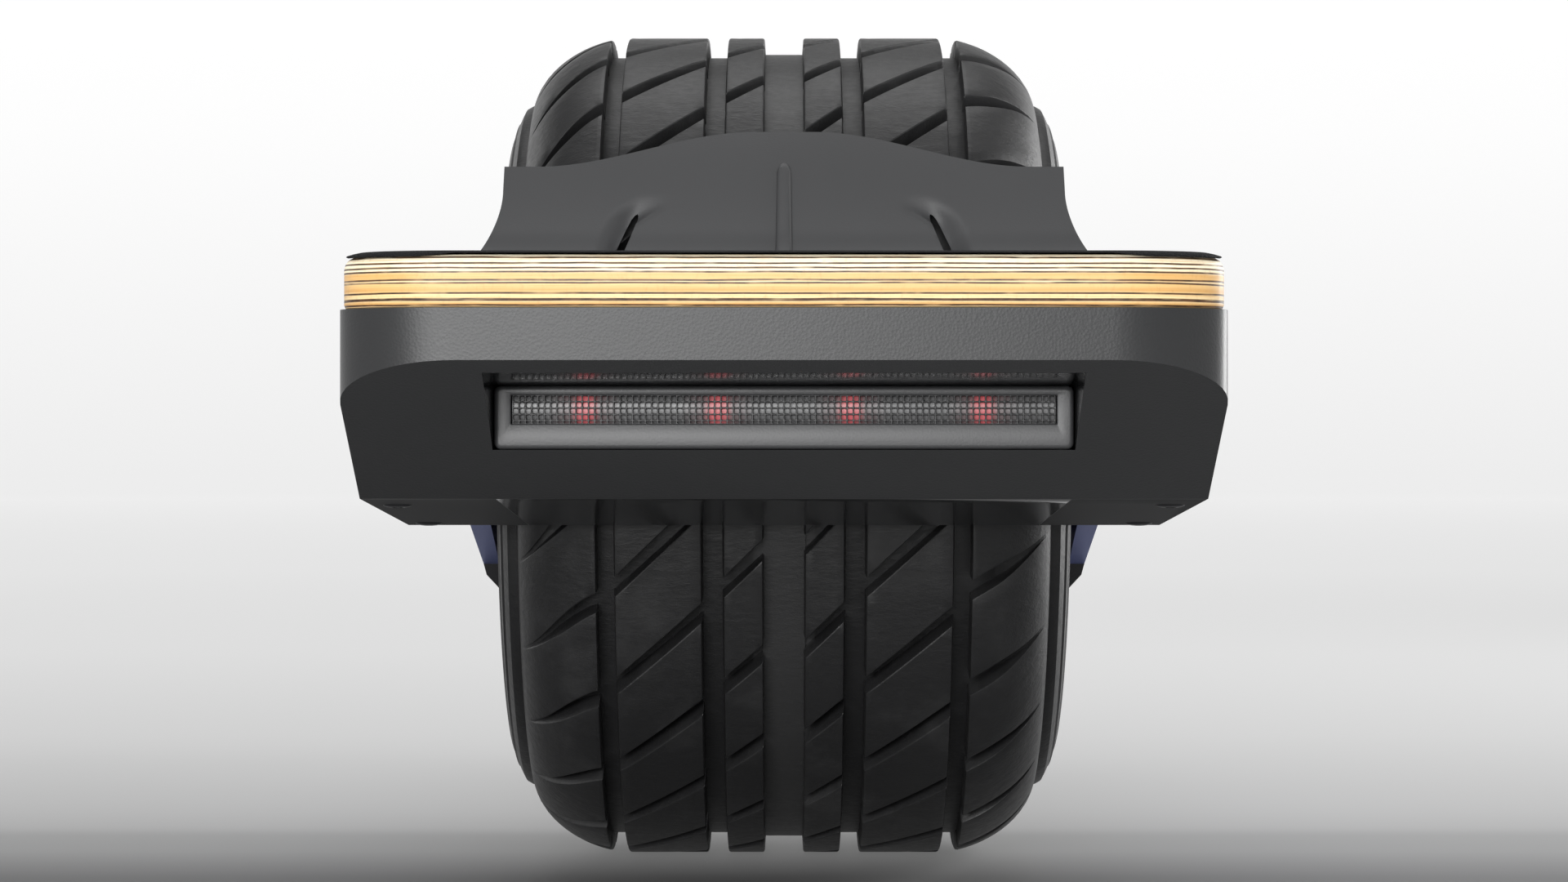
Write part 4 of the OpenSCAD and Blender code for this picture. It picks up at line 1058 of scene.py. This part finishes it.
# radius and height of each ring of a button head, in mm, from the rim to the floor of its hex socket
HEAD_RINGS = ((4.1, 0.8), (4.1, 0.05), (3.95, -0.25), (3.3, -0.52), (2.4, -0.70), (1.75, -0.76),
              (1.6, -0.70), (1.6, 0.3))
HEX_FROM = 6                                   # first ring that is a hexagon
BUMPER_SCREWS = [(x, d) for x in (-109.5, 109.5) for d in (195, 288)]      # in mm


def make_bumper_screws():
    """Low button heads under the bumpers, each with a hex socket."""
    around, rings = 36, len(HEAD_RINGS)
    points, faces = [], []
    for end, (x, d) in itertools.product(ENDS, BUMPER_SCREWS):
        base = len(points)
        for k, (r, low) in enumerate(HEAD_RINGS):
            for j in range(around):
                a = 2 * math.pi * j / around
                wide = r / math.cos((a % (math.pi / 3)) - math.pi / 6) if k >= HEX_FROM else r
                v = wide * math.sin(a)
                height = PAN_LOW + ((d + v) * MM - PAN_IN) * PAN_SLOPE + low * MM
                points.append(turned(((x + wide * math.cos(a)) * MM, (d + v) * MM, height), end))
        head = quads(rings, around, loop_columns=True)
        head += [tuple(range(around)), tuple(range((rings - 1) * around, rings * around))]
        faces += [tuple(base + i for i in face) for face in head]
    piece("bumper_screw_heads", points, faces, "frame", "black_steel", ["bumper_screws"], 40)


for end in ENDS:
    softened(end + "_bumper", 1.1 * MM, 3, 24)
    make_panel(end)
for side in ("left", "right"):
    softened("rail_" + side, 0.8 * MM, 2, 35)
    softened("rail_guard_" + side, 0.9 * MM, 2, 35)
    softened("axle_block_" + side, 0.8 * MM, 2, 35)
make_bumper_screws()


# ---------------------------------------------------------------- painting the CAD parts

def paint_frame():
    for node, made in frame["nodes"].items():
        made.data.materials.clear()
        made.data.materials.append(FINISHES[SLOTS[node]])


paint_frame()


# ---------------------------------------------------------------- stage

# the floor's glow, painted light and shade, against the square root of the distance outside the patch round
# the board, over 9 m: kept low near the board as a painted shadow
PAINTED_FLOOR_LIGHT = ((0.0, 0.0), (0.10, 0.0), (0.14, 0.135), (0.166, 0.165), (0.178, 0.24), (0.202, 0.29),
              (0.292, 0.43), (0.406, 0.54), (0.586, 0.63), (0.94, 0.68))


def studio():
    """Pale floor that sweeps up into a glowing wall all round, with a painted shadow and painted light on
    the floor round the board.
    """
    f = Finish("studio", specular_ior_level=0.2, emission_strength=1.0)
    x, y, z = f.axis("X").math("ABSOLUTE"), f.axis("Y"), f.axis("Z")
    grain = f.noise(700, 2)
    # painted shade: the floor is darker under and behind the board than in front of it and at the sides
    clear_of_painted_shade = (1 - y.ramp(-0.35, -0.12)).math("MAXIMUM", x.ramp(0.7, 1.2) * (1 - y.ramp(1.5, 3.0)))
    painted_shade_tone = f.mix(grain, (0.15,) * 3, (0.17,) * 3)
    pale = f.mix(grain, (0.40,) * 3, (0.42,) * 3)
    f.feed("Base Color", f.mix(clear_of_painted_shade, painted_shade_tone, pale))
    f.feed("Roughness", f.blend(grain, 0.6, 0.7))
    # painted shade: the floor's glow is dimmed by up to four tenths in front of and under the board
    behind = 1 - (-1 * y).ramp(-0.2, 0.3)
    away = ((y + 1.05).math("ABSOLUTE") - 0.8).math("MAXIMUM", x - 1.1)
    depth = (away / 9.0).clamp() ** 0.5
    stops = [(place, (glow,) * 3) for place, glow in PAINTED_FLOOR_LIGHT]
    painted_floor_light = f.node("ValToRGB", {"stops": stops}, {0: depth * (1 - (1 - behind) * 0.4)})
    wall_glow = f.mix((z / 1.35).clamp() ** 0.5, (0.0, 0.0, 0.0), (0.22, 0.22, 0.22))
    f.feed("Emission Color", f.node("Mix", {"data_type": "RGBA", "blend_type": "ADD"},
                                    {0: 1.0, 6: painted_floor_light, 7: wall_glow}, out=2))
    section = [(0.0, 0.0), (0.6, 0.0), (1.5, 0.0), (4, 0), (8.0, 0.0)]
    section += [(8 + math.sin(math.radians(a)), 1 - math.cos(math.radians(a))) for a in range(10, 91, 10)]
    section += [(9, 4.5)]
    around = 96
    points = [(r * math.cos(2 * math.pi * k / around), r * math.sin(2 * math.pi * k / around), z)
              for k in range(around) for r, z in section]
    mesh = bpy.data.meshes.new("studio")
    mesh.from_pydata(points, [], quads(around, len(section), loop_rows=True))
    work = bmesh.new()
    work.from_mesh(mesh)
    bmesh.ops.remove_doubles(work, verts=work.verts, dist=1e-5)
    for face in work.faces:
        face.smooth = True
    work.to_mesh(mesh)
    work.free()
    mesh.materials.append(f.material)
    made = bpy.data.objects.new("studio", mesh)
    SCENE.collection.objects.link(made)


def sky(strength):
    world = bpy.data.worlds.new("sky")
    SCENE.world = world
    world.use_nodes = True
    world.node_tree.nodes["Background"].inputs["Color"].default_value = (1.0, 1.0, 1.0, 1.0)
    world.node_tree.nodes["Background"].inputs["Strength"].default_value = strength


def soft_light(name, place, target, size, power):
    data = bpy.data.lights.new(name, "AREA")
    data.shape, data.size, data.size_y = "RECTANGLE", size[0], size[1]
    data.energy = power
    made = bpy.data.objects.new(name, data)
    made.location = place
    aim = Vector(target) - Vector(place)
    made.rotation_euler = aim.to_track_quat("-Z", "Y").to_euler()
    SCENE.collection.objects.link(made)


def lights():
    soft_light("front_left", (-0.50, -2.4, 0.42), (0, -0.2, 0.16), (1.4, 0.55), 46)
    soft_light("key_high", (-0.2, -1.9, 1.9), (0, -0.1, 0.15), (1.4, 1.0), 14)
    soft_light("overhead", (0.0, 0.75, 2.2), (0, 0, 0.1), (1.7, 1.4), 14)
    soft_light("right_high", (1.5, 0.25, 1.0), (0.05, 0, 0.2), (0.5, 0.9), 9)
    soft_light("back_right", (1.3, 0.9, 0.45), (0.08, 0, 0.12), (0.5, 0.9), 12)
    soft_light("back_left", (-1.5, 1.2, 0.9), (-0.08, 0, 0.15), (0.5, 0.9), 2)


def camera():
    data = bpy.data.cameras.new("camera")
    data.lens, data.sensor_width = 85.0, 36.0
    made = bpy.data.objects.new("camera", data)
    made.location = (0.0, -1.337, AXLE + 1.5 * MM)
    made.rotation_euler = (math.radians(90), 0.0, 0.0)
    SCENE.collection.objects.link(made)
    SCENE.camera = made


studio()
sky(0.16)
lights()
camera()
SCENE.view_settings.view_transform = "Standard"
